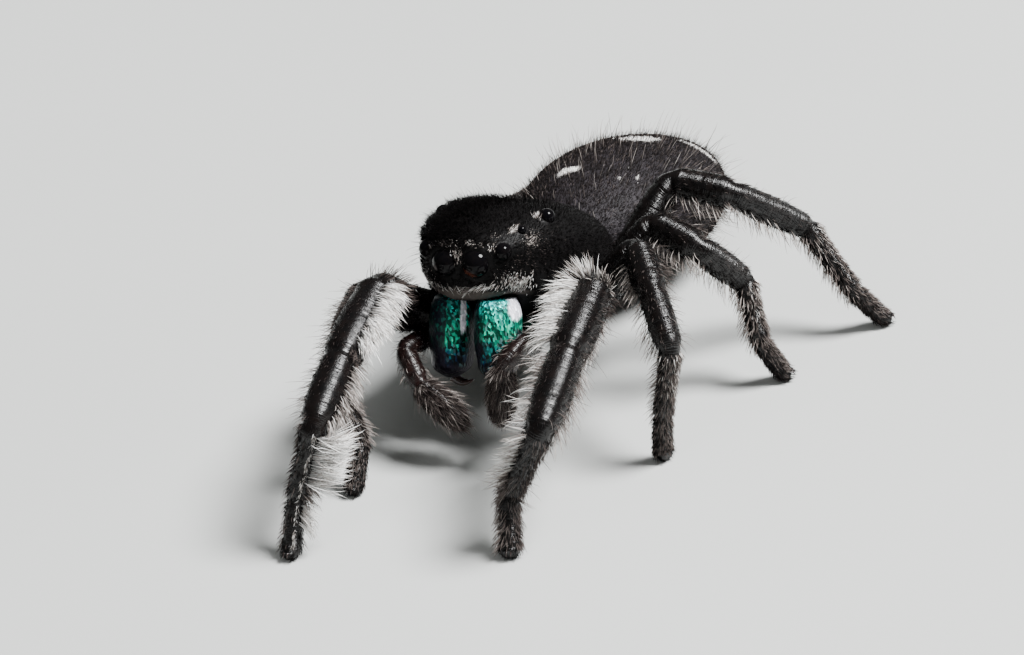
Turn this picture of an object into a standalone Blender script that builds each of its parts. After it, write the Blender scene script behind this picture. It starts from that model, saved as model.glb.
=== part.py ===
"""Bold jumping spider, adult male, life size, standing with its front legs reached out.

The animal faces -Y and its left side is at +X. Lengths are in millimetres while the
pieces are shaped. The last step turns them into metres and puts the origin under the
middle of the animal, on the floor that its feet stand on.
"""
import math
import random

import bmesh
import bpy
from mathutils import Matrix, Vector
from mathutils.bvhtree import BVHTree

MM = 0.001

# Gaps kept between neighbouring pieces
GAP = 0.20
FINE_GAP = 0.10
EYE_GAP = 0.06

# Carriage of the body: nose up, carapace edge at this height over the floor, left side up
BODY_PITCH = math.radians(8.5)
BODY_HEIGHT = 2.60
BODY_LEAN = 0.05

# Cephalothorax sections, front to back, from the middle of the carapace's lower edge:
# place along the body, half width, top, widest level, bottom
HEAD_SECTIONS = [
    (-2.38, 0.58, 1.78, 1.40, 0.46),
    (-2.27, 0.87, 1.95, 1.38, 0.42),
    (-2.05, 1.14, 2.08, 1.33, 0.38),
    (-1.66, 1.44, 2.19, 1.21, 0.32),
    (-1.20, 1.61, 2.25, 1.00, -0.42),
    (-0.50, 1.83, 2.23, 0.70, -0.62),
    (0.20, 1.96, 2.05, 0.52, -0.66),
    (0.90, 1.98, 1.80, 0.42, -0.64),
    (1.50, 1.80, 1.40, 0.38, -0.56),
    (1.98, 1.40, 1.02, 0.34, -0.40),
    (2.24, 0.85, 0.74, 0.30, -0.12),
]
FACE_POLE = (0.0, -2.46, 1.28)
NAPE_POLE = (0.0, 2.32, 0.30)
HEAD_SIDES = 28
HEAD_SQUARENESS = 2.8

# Abdomen, in the floor's frame
ABDOMEN_CENTRE = Vector((0.0, 5.50, 1.90))
ABDOMEN_HALF = Vector((2.16, 3.14, 1.46))
ABDOMEN_PITCH = math.radians(8.5)
ABDOMEN_YAW = math.radians(-5.0)
ABDOMEN_SQUARENESS = 2.15
ABDOMEN_SIDES = 24
ABDOMEN_RINGS = 11
ABDOMEN_EGG = -0.05

# Pedicel: its start in the head's frame and its end in the abdomen's
PEDICEL_START = (0.0, 1.70, -0.26)
PEDICEL_END = (0.0, -2.60, -0.62)
PEDICEL_RADIUS = 0.32

# Eyes on the left side, in the head's frame: centre, radius
EYES = {
    "front_middle": ((0.37, -2.29, 1.39), 0.34),
    "front_side": ((0.95, -2.11, 1.61), 0.20),
    "middle_small": ((1.17, -1.56, 1.94), 0.10),
    "rear_side": ((1.31, -0.62, 1.94), 0.19),
}

# Chelicerae: top and bottom of the axis, half width, half depth
CHELICERA_TOP = (0.55, -1.80, 0.50)
CHELICERA_BOTTOM = (0.60, -2.12, -1.42)
CHELICERA_HALF_WIDTH = 0.50
CHELICERA_HALF_DEPTH = 0.70

# Legs: root on the body in the head's frame, for legs one to four
LEG_ROOTS = [(1.28, -1.30, -0.30), (1.32, -0.40, -0.34), (1.25, 0.46, -0.34), (1.02, 1.36, -0.34)]

# Joints of each leg over the floor: knee, patella's end, tibia's end, metatarsus' end, toe
LEG_JOINTS = {
    ("left", 1): [(3.47, -2.48, 4.20), (3.81, -4.62, 3.79), (4.02, -6.66, 3.00),
                  (2.90, -6.48, 1.20), (3.05, -7.07, 0.12)],
    ("left", 2): [(3.54, -0.42, 4.13), (4.41, -1.59, 3.77), (5.11, -2.41, 2.83),
                  (4.69, -2.47, 1.14), (4.51, -2.38, 0.12)],
    ("left", 3): [(3.18, 1.18, 3.92), (4.38, 0.85, 3.59), (4.93, 1.73, 2.36),
                  (5.34, 1.30, 1.07), (5.64, 1.58, 0.12)],
    ("left", 4): [(2.94, 2.75, 4.18), (4.33, 2.84, 3.94), (5.42, 4.09, 2.56),
                  (6.43, 4.04, 1.02), (6.84, 4.47, 0.12)],
    ("right", 1): [(-1.63, -3.18, 4.03), (-1.30, -5.62, 3.63), (-1.21, -7.25, 2.89),
                   (-1.75, -7.67, 1.19), (-1.81, -8.14, 0.12)],
    ("right", 2): [(-2.82, -1.85, 3.20), (-2.58, -3.30, 2.92), (-2.15, -4.65, 2.20),
                   (-1.70, -4.80, 1.10), (-1.75, -5.30, 0.12)],
    ("right", 3): [(-2.42, 2.00, 2.66), (-3.05, 3.00, 2.40), (-3.60, 3.95, 1.50),
                   (-3.75, 4.60, 0.75), (-3.65, 5.25, 0.12)],
    ("right", 4): [(-2.78, 4.40, 1.68), (-3.00, 5.80, 1.45), (-3.10, 7.35, 1.00),
                   (-3.10, 8.60, 0.60), (-3.05, 9.25, 0.12)],
}

# Half thickness along a leg: root, thigh, knee, patella, tibia, its end, metatarsus, toe
FRONT_LEG = dict(root=0.34, thigh=0.54, knee=0.50, patella=0.50, tibia=0.45, ankle=0.38,
                 foot=0.32, toe=0.27)
OTHER_LEG = dict(root=0.33, thigh=0.42, knee=0.37, patella=0.37, tibia=0.34, ankle=0.29,
                 foot=0.27, toe=0.25)
LEG_SIDES = 10
PAD_HEIGHT = 0.25
PAD_REACH = 0.20
THIGH_SAG = 0.10
THIGH_BOW = 0.35

# Palps over the floor: root, knee, wrist, then the swollen end segment's tip
PALPS = {
    "left": [(1.34, -2.04, 2.30), (1.58, -2.80, 2.80), (1.30, -3.25, 2.42), (1.10, -3.38, 1.05)],
    "right": [(-1.36, -2.00, 2.22), (-1.40, -2.85, 2.36), (-0.92, -3.22, 1.75), (0.28, -3.50, 0.94)],
}
PALP_ARM = 0.25
PALP_BULB = 0.33

# Spinnerets, in the abdomen's frame: root, tip, radius
SPINNERET_ROOT = (0.22, 2.72, -0.20)
SPINNERET_TIP = (0.30, 3.36, -0.24)
SPINNERET_RADIUS = 0.20

# Locks of the coat: shares of a lock's length with their share of its width
LOCK_GIRTHS = [(0.0, 1.0), (0.38, 0.95), (0.72, 0.60)]
LOCK_SINK = 0.16
LOCK_ROOM = 0.20
LOCK_SHORTEST = 0.26
LOCK_SPREAD = 0.12
LOCK_TRIM = 0.85

# Ways of a lock at its root and at its tip: share straight out, share along the coat's lie
LEG_LOCK_ROOT_WAY = (0.82, 0.57)
LEG_LOCK_TIP_WAY = (0.45, 0.89)
ABDOMEN_LOCK_ROOT_WAY = (0.39, 0.92)
ABDOMEN_LOCK_TIP_WAY = (0.54, 0.84)

# Rows of locks on a leg's three pieces: start, end, degrees round the limb from its
# outer side through its underside, count, length
FRONT_FRINGE = {
    "femur": [(0.42, 0.90, 165, 4, 0.76), (0.50, 0.90, 15, 3, 0.60)],
    "tibia": [(0.04, 0.92, 172, 9, 0.84), (0.10, 0.88, 132, 7, 0.80), (0.04, 0.94, 8, 8, 0.70),
              (0.14, 0.88, 48, 5, 0.68)],
    "foot": [(0.08, 0.74, 168, 5, 0.64), (0.08, 0.70, 12, 5, 0.52), (0.20, 0.60, 90, 2, 0.42)],
}
OTHER_FRINGE = {
    "femur": [(0.45, 0.88, 120, 3, 0.54), (0.50, 0.85, 60, 2, 0.50)],
    "tibia": [(0.10, 0.90, 128, 4, 0.58), (0.16, 0.92, 52, 4, 0.58)],
    "foot": [(0.12, 0.64, 110, 3, 0.42)],
}
FRONT_LOCK_WIDTH = 0.44
OTHER_LOCK_WIDTH = 0.38
LEG_LOCK_THICKNESS = 0.20
PALP_LOCKS = [(0.25, 20, 0.38), (0.30, 160, 0.38), (0.50, 90, 0.42), (0.62, 40, 0.44),
              (0.64, 175, 0.44), (0.78, 120, 0.46), (0.84, 215, 0.40)]

# Coat of the abdomen: rows front to back with their number of locks round the back
ABDOMEN_ROWS = [(-0.74, 5), (-0.50, 7), (-0.26, 8), (-0.02, 9), (0.22, 9), (0.46, 8), (0.70, 7), (0.90, 4)]
ABDOMEN_ARC = math.radians(225)
ABDOMEN_LOCK_LENGTH = 1.15
ABDOMEN_LOCK_WIDTH = 0.66
ABDOMEN_LOCK_THICKNESS = 0.22

BLACK = (0.012, 0.011, 0.012, 1.0)
GREY_BLACK = (0.035, 0.032, 0.035, 1.0)
EYE_BLACK = (0.004, 0.004, 0.005, 1.0)
TEAL = (0.01, 0.32, 0.27, 1.0)
RED_BROWN = (0.05, 0.018, 0.012, 1.0)


def clear_objects():
    for item in list(bpy.data.objects):
        bpy.data.objects.remove(item, do_unlink=True)


def material(name, colour, roughness, metallic=0.0):
    made = bpy.data.materials.new(name)
    made.use_nodes = True
    shader = made.node_tree.nodes["Principled BSDF"]
    shader.inputs["Base Color"].default_value = colour
    shader.inputs["Roughness"].default_value = roughness
    shader.inputs["Metallic"].default_value = metallic
    return made


def over_floor(point):
    """A point of the head's frame, leaned, pitched nose up and lifted over the floor."""
    x, y, z = point[0], point[1], point[2] + BODY_LEAN * point[0]
    cosine, sine = math.cos(BODY_PITCH), math.sin(BODY_PITCH)
    return Vector((x, y * cosine + z * sine, BODY_HEIGHT - y * sine + z * cosine))


def mirrored(point, side):
    return (point[0] if side == "left" else -point[0], point[1], point[2])


def loft(name, rings, finish, start_pole=None, end_pole=None):
    """A closed solid through rings of points, ending in flat caps or in poles."""
    mesh_data = bmesh.new()
    loops = [[mesh_data.verts.new(point) for point in ring] for ring in rings]
    count = len(loops[0])
    for near, far in zip(loops, loops[1:]):
        for i in range(count):
            j = (i + 1) % count
            mesh_data.faces.new((near[i], near[j], far[j], far[i]))
    close_end(mesh_data, loops[0][::-1], start_pole)
    close_end(mesh_data, loops[-1], end_pole)
    bmesh.ops.recalc_face_normals(mesh_data, faces=mesh_data.faces)
    return new_object(name, mesh_data, finish)


def close_end(mesh_data, loop, pole):
    if pole is None:
        mesh_data.faces.new(loop)
        return
    tip = mesh_data.verts.new(pole)
    for i, vert in enumerate(loop):
        mesh_data.faces.new((vert, loop[(i + 1) % len(loop)], tip))


def new_object(name, mesh_data, finish):
    mesh = bpy.data.meshes.new(name)
    mesh_data.to_mesh(mesh)
    mesh_data.free()
    mesh.materials.append(finish)
    mesh.shade_smooth()
    item = bpy.data.objects.new(name, mesh)
    bpy.context.scene.collection.objects.link(item)
    return item


def ring(centre, side, up, half_width, half_height, sides, turn=0.0):
    points = []
    for i in range(sides):
        angle = turn + 2.0 * math.pi * i / sides
        points.append(centre + side * (half_width * math.cos(angle)) + up * (half_height * math.sin(angle)))
    return points


def bulged(value, squareness):
    return math.copysign(abs(value) ** (2.0 / squareness), value)


def head_ring(section, swell):
    along, half_width, top, widest, bottom = section
    points = []
    for i in range(HEAD_SIDES):
        angle = 2.0 * math.pi * i / HEAD_SIDES
        across = bulged(math.cos(angle), HEAD_SQUARENESS) * (half_width + swell)
        level = bulged(math.sin(angle), HEAD_SQUARENESS)
        reach = (top + swell - widest) if level > 0.0 else (widest - bottom + swell)
        points.append(over_floor((across, along, widest + level * reach)))
    return points


def head_shape(name, finish, swell=0.0):
    """The cephalothorax, or the same shape grown all round for cutting its neighbours."""
    sections = [list(section) for section in HEAD_SECTIONS]
    sections[0][0] -= swell
    sections[-1][0] += swell
    front = (FACE_POLE[0], FACE_POLE[1] - swell, FACE_POLE[2])
    back = (NAPE_POLE[0], NAPE_POLE[1] + swell, NAPE_POLE[2])
    rings = [head_ring(section, swell) for section in sections]
    return loft(name, rings, finish, over_floor(front), over_floor(back))


def abdomen_point(across, along, level):
    """A point of the abdomen's own frame, pitched and turned a little to the left."""
    turned = Matrix.Rotation(ABDOMEN_YAW, 3, "Z") @ Matrix.Rotation(-ABDOMEN_PITCH, 3, "X")
    return ABDOMEN_CENTRE + turned @ Vector((across, along, level))


def abdomen_shape(name, finish, swell=0.0):
    """An egg, a little broader in front of its middle."""
    rings = []
    half = ABDOMEN_HALF + Vector((swell, swell, swell))
    for i in range(1, ABDOMEN_RINGS + 1):
        angle = math.pi * i / (ABDOMEN_RINGS + 1)
        along = -math.cos(angle)
        girth = math.sin(angle) * (1.0 + ABDOMEN_EGG * along)
        points = []
        for k in range(ABDOMEN_SIDES):
            turn = 2.0 * math.pi * k / ABDOMEN_SIDES
            across = bulged(math.cos(turn), ABDOMEN_SQUARENESS)
            level = bulged(math.sin(turn), ABDOMEN_SQUARENESS)
            points.append(abdomen_point(half.x * girth * across, half.y * along, half.z * girth * level))
        rings.append(points)
    front, back = abdomen_point(0.0, -half.y, 0.0), abdomen_point(0.0, half.y, 0.0)
    return loft(name, rings, finish, front, back)


def cut_by(item, cutters):
    """Takes each cutter's shape out of a piece, and keeps the piece's largest body."""
    for cutter in cutters:
        cut = item.modifiers.new("cut", "BOOLEAN")
        cut.operation = "DIFFERENCE"
        cut.solver = "MANIFOLD"
        cut.object = cutter
    apply_modifiers(item)
    keep_largest(item)


def apply_modifiers(item):
    graph = bpy.context.evaluated_depsgraph_get()
    mesh = bpy.data.meshes.new_from_object(item.evaluated_get(graph))
    item.modifiers.clear()
    item.data = mesh


def keep_largest(item):
    mesh_data = bmesh.new()
    mesh_data.from_mesh(item.data)
    unseen = set(mesh_data.faces)
    islands = []
    while unseen:
        front = [unseen.pop()]
        island = list(front)
        while front:
            face = front.pop()
            for edge in face.edges:
                for other in edge.link_faces:
                    if other in unseen:
                        unseen.remove(other)
                        island.append(other)
                        front.append(other)
        islands.append(island)
    islands.sort(key=lambda faces: sum(face.calc_area() for face in faces))
    scraps = [face for island in islands[:-1] for face in island]
    bmesh.ops.delete(mesh_data, geom=scraps, context="FACES")
    mesh_data.to_mesh(item.data)
    mesh_data.free()


def tube(name, stations, finish, level, start_pole=None, end_pole=None, sides=LEG_SIDES, floor=None):
    """A limb through stations of centre, direction, half width and half height."""
    rings = []
    for centre, direction, half_width, half_height in stations:
        direction = direction.normalized()
        side = (level - direction * level.dot(direction)).normalized()
        up = side.cross(direction)
        points = ring(centre, side, up, half_width, half_height, sides)
        if floor is not None:
            points = [Vector((p.x, p.y, max(p.z, floor))) for p in points]
        rings.append(points)
    return loft(name, rings, finish, start_pole, end_pole)


def leg_frame(side, number):
    """Joints of a leg from its root, and the direction across it."""
    root = over_floor(mirrored(LEG_ROOTS[number - 1], side))
    joints = [root] + [Vector(point) for point in LEG_JOINTS[side, number]]
    reach = joints[5] - root
    across = Vector((-reach.y, reach.x, 0.0)).normalized()
    return joints, across


def middle_direction(before, joint, after):
    return ((joint - before).normalized() + (after - joint).normalized()).normalized()


def thigh_shape(name, side, number, finish, swell=0.0):
    """Coxa and femur of a leg, or the same shape grown all round for cutting its neighbours."""
    joints, across = leg_frame(side, number)
    root, knee, patella = joints[0], joints[1], joints[2]
    size = FRONT_LEG if number == 1 else OTHER_LEG
    base, middle, end = size["root"] + swell, size["thigh"] + swell, size["knee"] + swell
    outward = THIGH_BOW if side == "left" else -THIGH_BOW
    sag = Vector((outward, 0.0, -THIGH_SAG))
    thigh_way = (knee - root).normalized()
    knee_way = middle_direction(root, knee, patella)
    return tube(name, [
        (root - thigh_way * 0.5, thigh_way, base, base),
        (root.lerp(knee, 0.18) + sag * 0.5, thigh_way, base, base),
        (root.lerp(knee, 0.42) + sag, thigh_way, middle * 0.92, middle),
        (root.lerp(knee, 0.68) + sag * 0.5, thigh_way, middle * 0.92, middle),
        (root.lerp(knee, 0.88), thigh_way + knee_way, end * 0.95, end),
        (knee - knee_way * GAP * 0.5, knee_way, end * 0.85, end * 0.85),
    ], finish, across)


def leg_pieces(side, number, finish):
    """Thigh with coxa, shank with patella, and foot, mitred at the knee and the ankle."""
    joints, across = leg_frame(side, number)
    root, knee, patella, ankle, heel, toe = joints
    size = FRONT_LEG if number == 1 else OTHER_LEG
    name = "leg_%s_%d_" % (side, number)
    knee_way = middle_direction(root, knee, patella)
    ankle_way = middle_direction(patella, ankle, heel)
    thigh = thigh_shape(name + "femur", side, number, finish)
    patella_way = middle_direction(knee, patella, ankle)
    shank = tube(name + "tibia", [
        (knee + knee_way * GAP * 0.5, knee_way, size["knee"] * 0.85, size["knee"] * 0.85),
        (knee.lerp(patella, 0.30), patella - knee, size["patella"], size["patella"]),
        (knee.lerp(patella, 0.80), patella - knee, size["patella"], size["patella"]),
        (patella, patella_way, size["tibia"] * 0.9, size["tibia"] * 0.9),
        (patella.lerp(ankle, 0.25), ankle - patella, size["tibia"], size["tibia"]),
        (patella.lerp(ankle, 0.75), ankle - patella, size["tibia"] * 0.95, size["tibia"] * 0.95),
        (ankle - ankle_way * GAP * 0.5, ankle_way, size["ankle"], size["ankle"]),
    ], finish, across)
    foot_way = (heel - ankle).normalized()
    toe_way = (toe - heel).normalized()
    outward = Vector((toe.x - root.x, toe.y - root.y, 0.0)).normalized()
    pad = size["toe"]
    foot = tube(name + "foot", [
        (ankle + ankle_way * GAP * 0.5, ankle_way, size["ankle"], size["ankle"]),
        (ankle.lerp(heel, 0.35), foot_way, size["foot"], size["foot"]),
        (ankle.lerp(heel, 0.85), foot_way, size["foot"] * 0.95, size["foot"] * 0.95),
        (heel.lerp(toe, 0.20), foot_way + toe_way, pad, pad),
        (heel.lerp(toe, 0.62), toe_way * 2.0 + outward, pad, pad),
        (toe, outward * 2.0 + toe_way, pad, PAD_HEIGHT),
        (toe + outward * PAD_REACH, outward, pad * 0.85, PAD_HEIGHT * 0.9),
    ], finish, across, floor=0.0)
    return thigh, shank, foot


def eye(name, centre, radius, finish):
    segments, rings = (20, 12) if radius > 0.3 else (12, 8)
    mesh_data = bmesh.new()
    bmesh.ops.create_uvsphere(mesh_data, u_segments=segments, v_segments=rings, radius=radius)
    bmesh.ops.translate(mesh_data, verts=mesh_data.verts, vec=over_floor(centre))
    return new_object(name, mesh_data, finish)


def chelicera(name, side, finish, swell=0.0):
    top = over_floor(mirrored(CHELICERA_TOP, side))
    bottom = over_floor(mirrored(CHELICERA_BOTTOM, side))
    way = (bottom - top).normalized()
    outward = Vector((1.0, 0.0, 0.0))
    width, depth = CHELICERA_HALF_WIDTH + swell, CHELICERA_HALF_DEPTH + swell
    stations = [
        (top - way * 0.15, way, width * 0.80, depth * 0.85),
        (top + way * 0.18, way, width * 0.96, depth),
        (top.lerp(bottom, 0.40), way, width, depth * 1.02),
        (top.lerp(bottom, 0.72), way, width * 0.92, depth * 0.90),
        (top.lerp(bottom, 0.94), way, width * 0.66, depth * 0.66),
    ]
    return tube(name, stations, finish, outward, end_pole=bottom + way * swell, sides=16)


def fang(side, finish):
    """A short curved tooth folded inward under the chelicera's end."""
    sign = 1.0 if side == "left" else -1.0
    bottom = over_floor(mirrored(CHELICERA_BOTTOM, side))
    root = bottom + Vector((sign * 0.14, 0.24, -FINE_GAP - 0.06))
    middle = root + Vector((-sign * 0.22, 0.04, -0.16))
    tip = root + Vector((-sign * 0.50, 0.08, -0.10))
    level = Vector((0.0, 1.0, 0.0))
    stations = [
        (root + Vector((sign * 0.02, 0.0, 0.02)), middle - root, 0.13, 0.13),
        (middle, tip - root, 0.11, 0.11),
        (tip, tip - middle, 0.05, 0.05),
    ]
    return tube("fang_" + side, stations, finish, level, sides=8)


def palp(side, finish):
    root, knee, wrist, tip = [Vector(point) for point in PALPS[side]]
    level = (knee - root).cross(tip - wrist).normalized()
    knee_way = middle_direction(root, knee, wrist)
    bulb_way = (tip - wrist).normalized()
    arm = tube("palp_%s_arm" % side, [
        (root - (knee - root).normalized() * 0.3, knee - root, PALP_ARM, PALP_ARM),
        (root.lerp(knee, 0.5), knee - root, PALP_ARM * 1.1, PALP_ARM * 1.1),
        (knee, knee_way, PALP_ARM * 1.05, PALP_ARM * 1.05),
        (wrist - bulb_way * GAP * 0.5, bulb_way, PALP_ARM * 1.05, PALP_ARM * 1.05),
    ], finish, level)
    bulb = tube("palp_%s_tip" % side, [
        (wrist + bulb_way * GAP * 0.5, bulb_way, PALP_ARM * 1.05, PALP_ARM * 1.05),
        (wrist.lerp(tip, 0.35), bulb_way, PALP_BULB, PALP_BULB),
        (wrist.lerp(tip, 0.65), bulb_way, PALP_BULB * 0.95, PALP_BULB * 0.95),
        (wrist.lerp(tip, 0.90), bulb_way, PALP_BULB * 0.55, PALP_BULB * 0.55),
    ], finish, level, end_pole=tip)
    return arm, bulb


def spinneret(side, finish):
    root = abdomen_point(*mirrored(SPINNERET_ROOT, side))
    tip = abdomen_point(*mirrored(SPINNERET_TIP, side))
    way = (tip - root).normalized()
    stations = [
        (root - way * 0.3, way, SPINNERET_RADIUS, SPINNERET_RADIUS),
        (root.lerp(tip, 0.6), way, SPINNERET_RADIUS, SPINNERET_RADIUS),
        (tip, way, SPINNERET_RADIUS * 0.6, SPINNERET_RADIUS * 0.6),
    ]
    return tube("spinneret_" + side, stations, finish, Vector((1.0, 0.0, 0.0)), sides=8)


def pedicel(finish):
    start = over_floor(PEDICEL_START)
    end = abdomen_point(*PEDICEL_END)
    way = end - start
    stations = [(start.lerp(end, share), way, PEDICEL_RADIUS, PEDICEL_RADIUS) for share in (0.0, 0.5, 1.0)]
    return tube("pedicel", stations, finish, Vector((1.0, 0.0, 0.0)), sides=12)


def lock(root, way, end_way, length, width, thickness, face):
    """One flat tapered lock that bends from one way to another, its flat side to face."""
    turn = end_way - way
    rings = []
    for share, girth in LOCK_GIRTHS:
        centre = root + (way * share + turn * (share * share / 2.0)) * length
        tangent = way + turn * share
        wide = tangent.cross(face).normalized()
        deep = wide.cross(tangent).normalized()
        half, rise = width * girth / 2.0, thickness * girth
        rings.append([centre - wide * half, centre + wide * half, centre + deep * rise])
    tip = root + (way + turn / 2.0) * length
    return rings, tip


class Coat:
    """Places locks clear of every other piece, and joins them to the pieces they grow from."""

    def __init__(self, pieces):
        graph = bpy.context.evaluated_depsgraph_get()
        self.trees = {item.name: BVHTree.FromObject(item, graph) for item in pieces}
        self.placed = []
        self.locks = {item.name: [] for item in pieces}
        self.chance = random.Random(11)

    def room_at(self, point, owner):
        nearest = LOCK_ROOM * 2.0
        for name, tree in self.trees.items():
            if name == owner:
                continue
            distance = tree.find_nearest(point)[3]
            nearest = min(nearest, distance)
        for name, other in self.placed:
            if name != owner:
                nearest = min(nearest, (other - point).length - LOCK_ROOM * 0.5)
        return nearest

    def add(self, item, surface, way, end_way, length, width, thickness, face):
        length *= self.chance.uniform(1.0 - LOCK_SPREAD, 1.0 + LOCK_SPREAD)
        way, end_way = way.normalized(), end_way.normalized()
        while length > LOCK_SHORTEST:
            root = surface - way * LOCK_SINK
            rings, tip = lock(root, way, end_way, length + LOCK_SINK, width, thickness, face)
            edge = [point for loop in rings[1:] for point in loop] + [tip]
            fits = all(self.room_at(point, item.name) > LOCK_ROOM for point in edge)
            if fits and min(point.z for point in edge) > LOCK_ROOM:
                self.placed += [(item.name, point) for point in edge]
                self.locks[item.name].append((rings, tip))
                return
            length *= LOCK_TRIM

    def join(self, pieces):
        for item in pieces:
            if not self.locks[item.name]:
                continue
            group = bpy.data.collections.new("locks")
            bpy.context.scene.collection.children.link(group)
            made = []
            for rings, tip in self.locks[item.name]:
                hair = loft("lock", rings, item.data.materials[0], end_pole=tip)
                bpy.context.scene.collection.objects.unlink(hair)
                group.objects.link(hair)
                made.append(hair)
            union = item.modifiers.new("coat", "BOOLEAN")
            union.operation = "UNION"
            union.solver = "EXACT"
            union.operand_type = "COLLECTION"
            union.collection = group
            apply_modifiers(item)
            keep_largest(item)
            for hair in made:
                bpy.data.objects.remove(hair, do_unlink=True)
            bpy.data.collections.remove(group)


def along_path(path, share):
    """The place and direction at a share of a bent path's length."""
    lengths = [(far - near).length for near, far in zip(path, path[1:])]
    left = share * sum(lengths)
    for near, far, length in zip(path, path[1:], lengths):
        if left <= length or far == path[-1]:
            return near.lerp(far, left / length), (far - near).normalized()
        left -= length


def limb_lock(coat, item, path, girth, across, share, degrees, length, width):
    """A lock on a limb that stands out from it and leans towards its end."""
    centre, way = along_path(path, share)
    side = (across - way * across.dot(way)).normalized()
    under = side.cross(way)
    angle = math.radians(degrees)
    normal = side * math.cos(angle) + under * math.sin(angle)
    start_way = normal * LEG_LOCK_ROOT_WAY[0] + way * LEG_LOCK_ROOT_WAY[1]
    end_way = normal * LEG_LOCK_TIP_WAY[0] + way * LEG_LOCK_TIP_WAY[1]
    face = normal.cross(way)
    coat.add(item, centre + normal * girth * 0.9, start_way, end_way, length, width,
             LEG_LOCK_THICKNESS, face)


def leg_fringe(coat, items, side, number):
    joints, across = leg_frame(side, number)
    root, knee, patella, ankle, heel, toe = joints
    size = FRONT_LEG if number == 1 else OTHER_LEG
    rows = FRONT_FRINGE if number == 1 else OTHER_FRINGE
    width = FRONT_LOCK_WIDTH if number == 1 else OTHER_LOCK_WIDTH
    outward = across if side == "left" else -across
    paths = {"femur": ([root, knee], size["thigh"]), "tibia": ([knee, patella, ankle], size["tibia"]),
             "foot": ([ankle, heel, toe], size["foot"])}
    for piece, (path, girth) in paths.items():
        item = items["leg_%s_%d_%s" % (side, number, piece)]
        for start, end, degrees, count, length in rows[piece]:
            turned = degrees if side == "left" else -degrees
            for k in range(count):
                share = start + (end - start) * k / max(count - 1, 1)
                limb_lock(coat, item, path, girth, outward, share, turned, length, width)


def palp_fringe(coat, items, side):
    points = [Vector(point) for point in PALPS[side]]
    wrist, tip = points[2], points[3]
    across = Vector((1.0 if side == "left" else -1.0, 0.0, 0.0))
    for share, degrees, length in PALP_LOCKS:
        turned = degrees if side == "left" else -degrees
        limb_lock(coat, items["palp_%s_tip" % side], [wrist, tip], PALP_BULB, across, share,
                  turned, length, OTHER_LOCK_WIDTH)


def abdomen_coat(coat, item):
    """Locks over the back and sides that lie backward, with their tips standing clear."""
    half = ABDOMEN_HALF
    for row, (along, count) in enumerate(ABDOMEN_ROWS):
        girth = math.sqrt(1.0 - along * along) * (1.0 + ABDOMEN_EGG * along)
        for k in range(count):
            place = (k + 0.5 + 0.25 * (-1) ** row) / count - 0.5
            angle = place * ABDOMEN_ARC
            across, level = math.sin(angle), math.cos(angle)
            surface = abdomen_point(half.x * girth * across, half.y * along, half.z * girth * level)
            normal = abdomen_point(girth * across / half.x, along / half.y, girth * level / half.z)
            normal = (normal - ABDOMEN_CENTRE).normalized()
            back = Vector((0.0, 1.0, 0.0))
            lie = (back - normal * back.dot(normal)).normalized()
            start_way = normal * ABDOMEN_LOCK_ROOT_WAY[0] + lie * ABDOMEN_LOCK_ROOT_WAY[1]
            end_way = normal * ABDOMEN_LOCK_TIP_WAY[0] + lie * ABDOMEN_LOCK_TIP_WAY[1]
            coat.add(item, surface, start_way, end_way, ABDOMEN_LOCK_LENGTH, ABDOMEN_LOCK_WIDTH,
                     ABDOMEN_LOCK_THICKNESS, normal)


def add_coat(pieces):
    items = {item.name: item for item in pieces}
    coat = Coat(pieces)
    for side in ("left", "right"):
        for number in (1, 2, 3, 4):
            leg_fringe(coat, items, side, number)
        palp_fringe(coat, items, side)
    abdomen_coat(coat, items["abdomen"])
    coat.join(pieces)


def centre_on_base(items):
    """Metres, with the origin on the floor under the middle of the animal's box."""
    corners = [item.matrix_world @ Vector(corner) for item in items for corner in item.bound_box]
    low = [min(corner[i] for corner in corners) for i in range(3)]
    high = [max(corner[i] for corner in corners) for i in range(3)]
    shift = Vector((-(low[0] + high[0]) / 2.0, -(low[1] + high[1]) / 2.0, -low[2]))
    for item in items:
        item.data.transform(Matrix.Scale(MM, 4) @ Matrix.Translation(shift))


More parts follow.
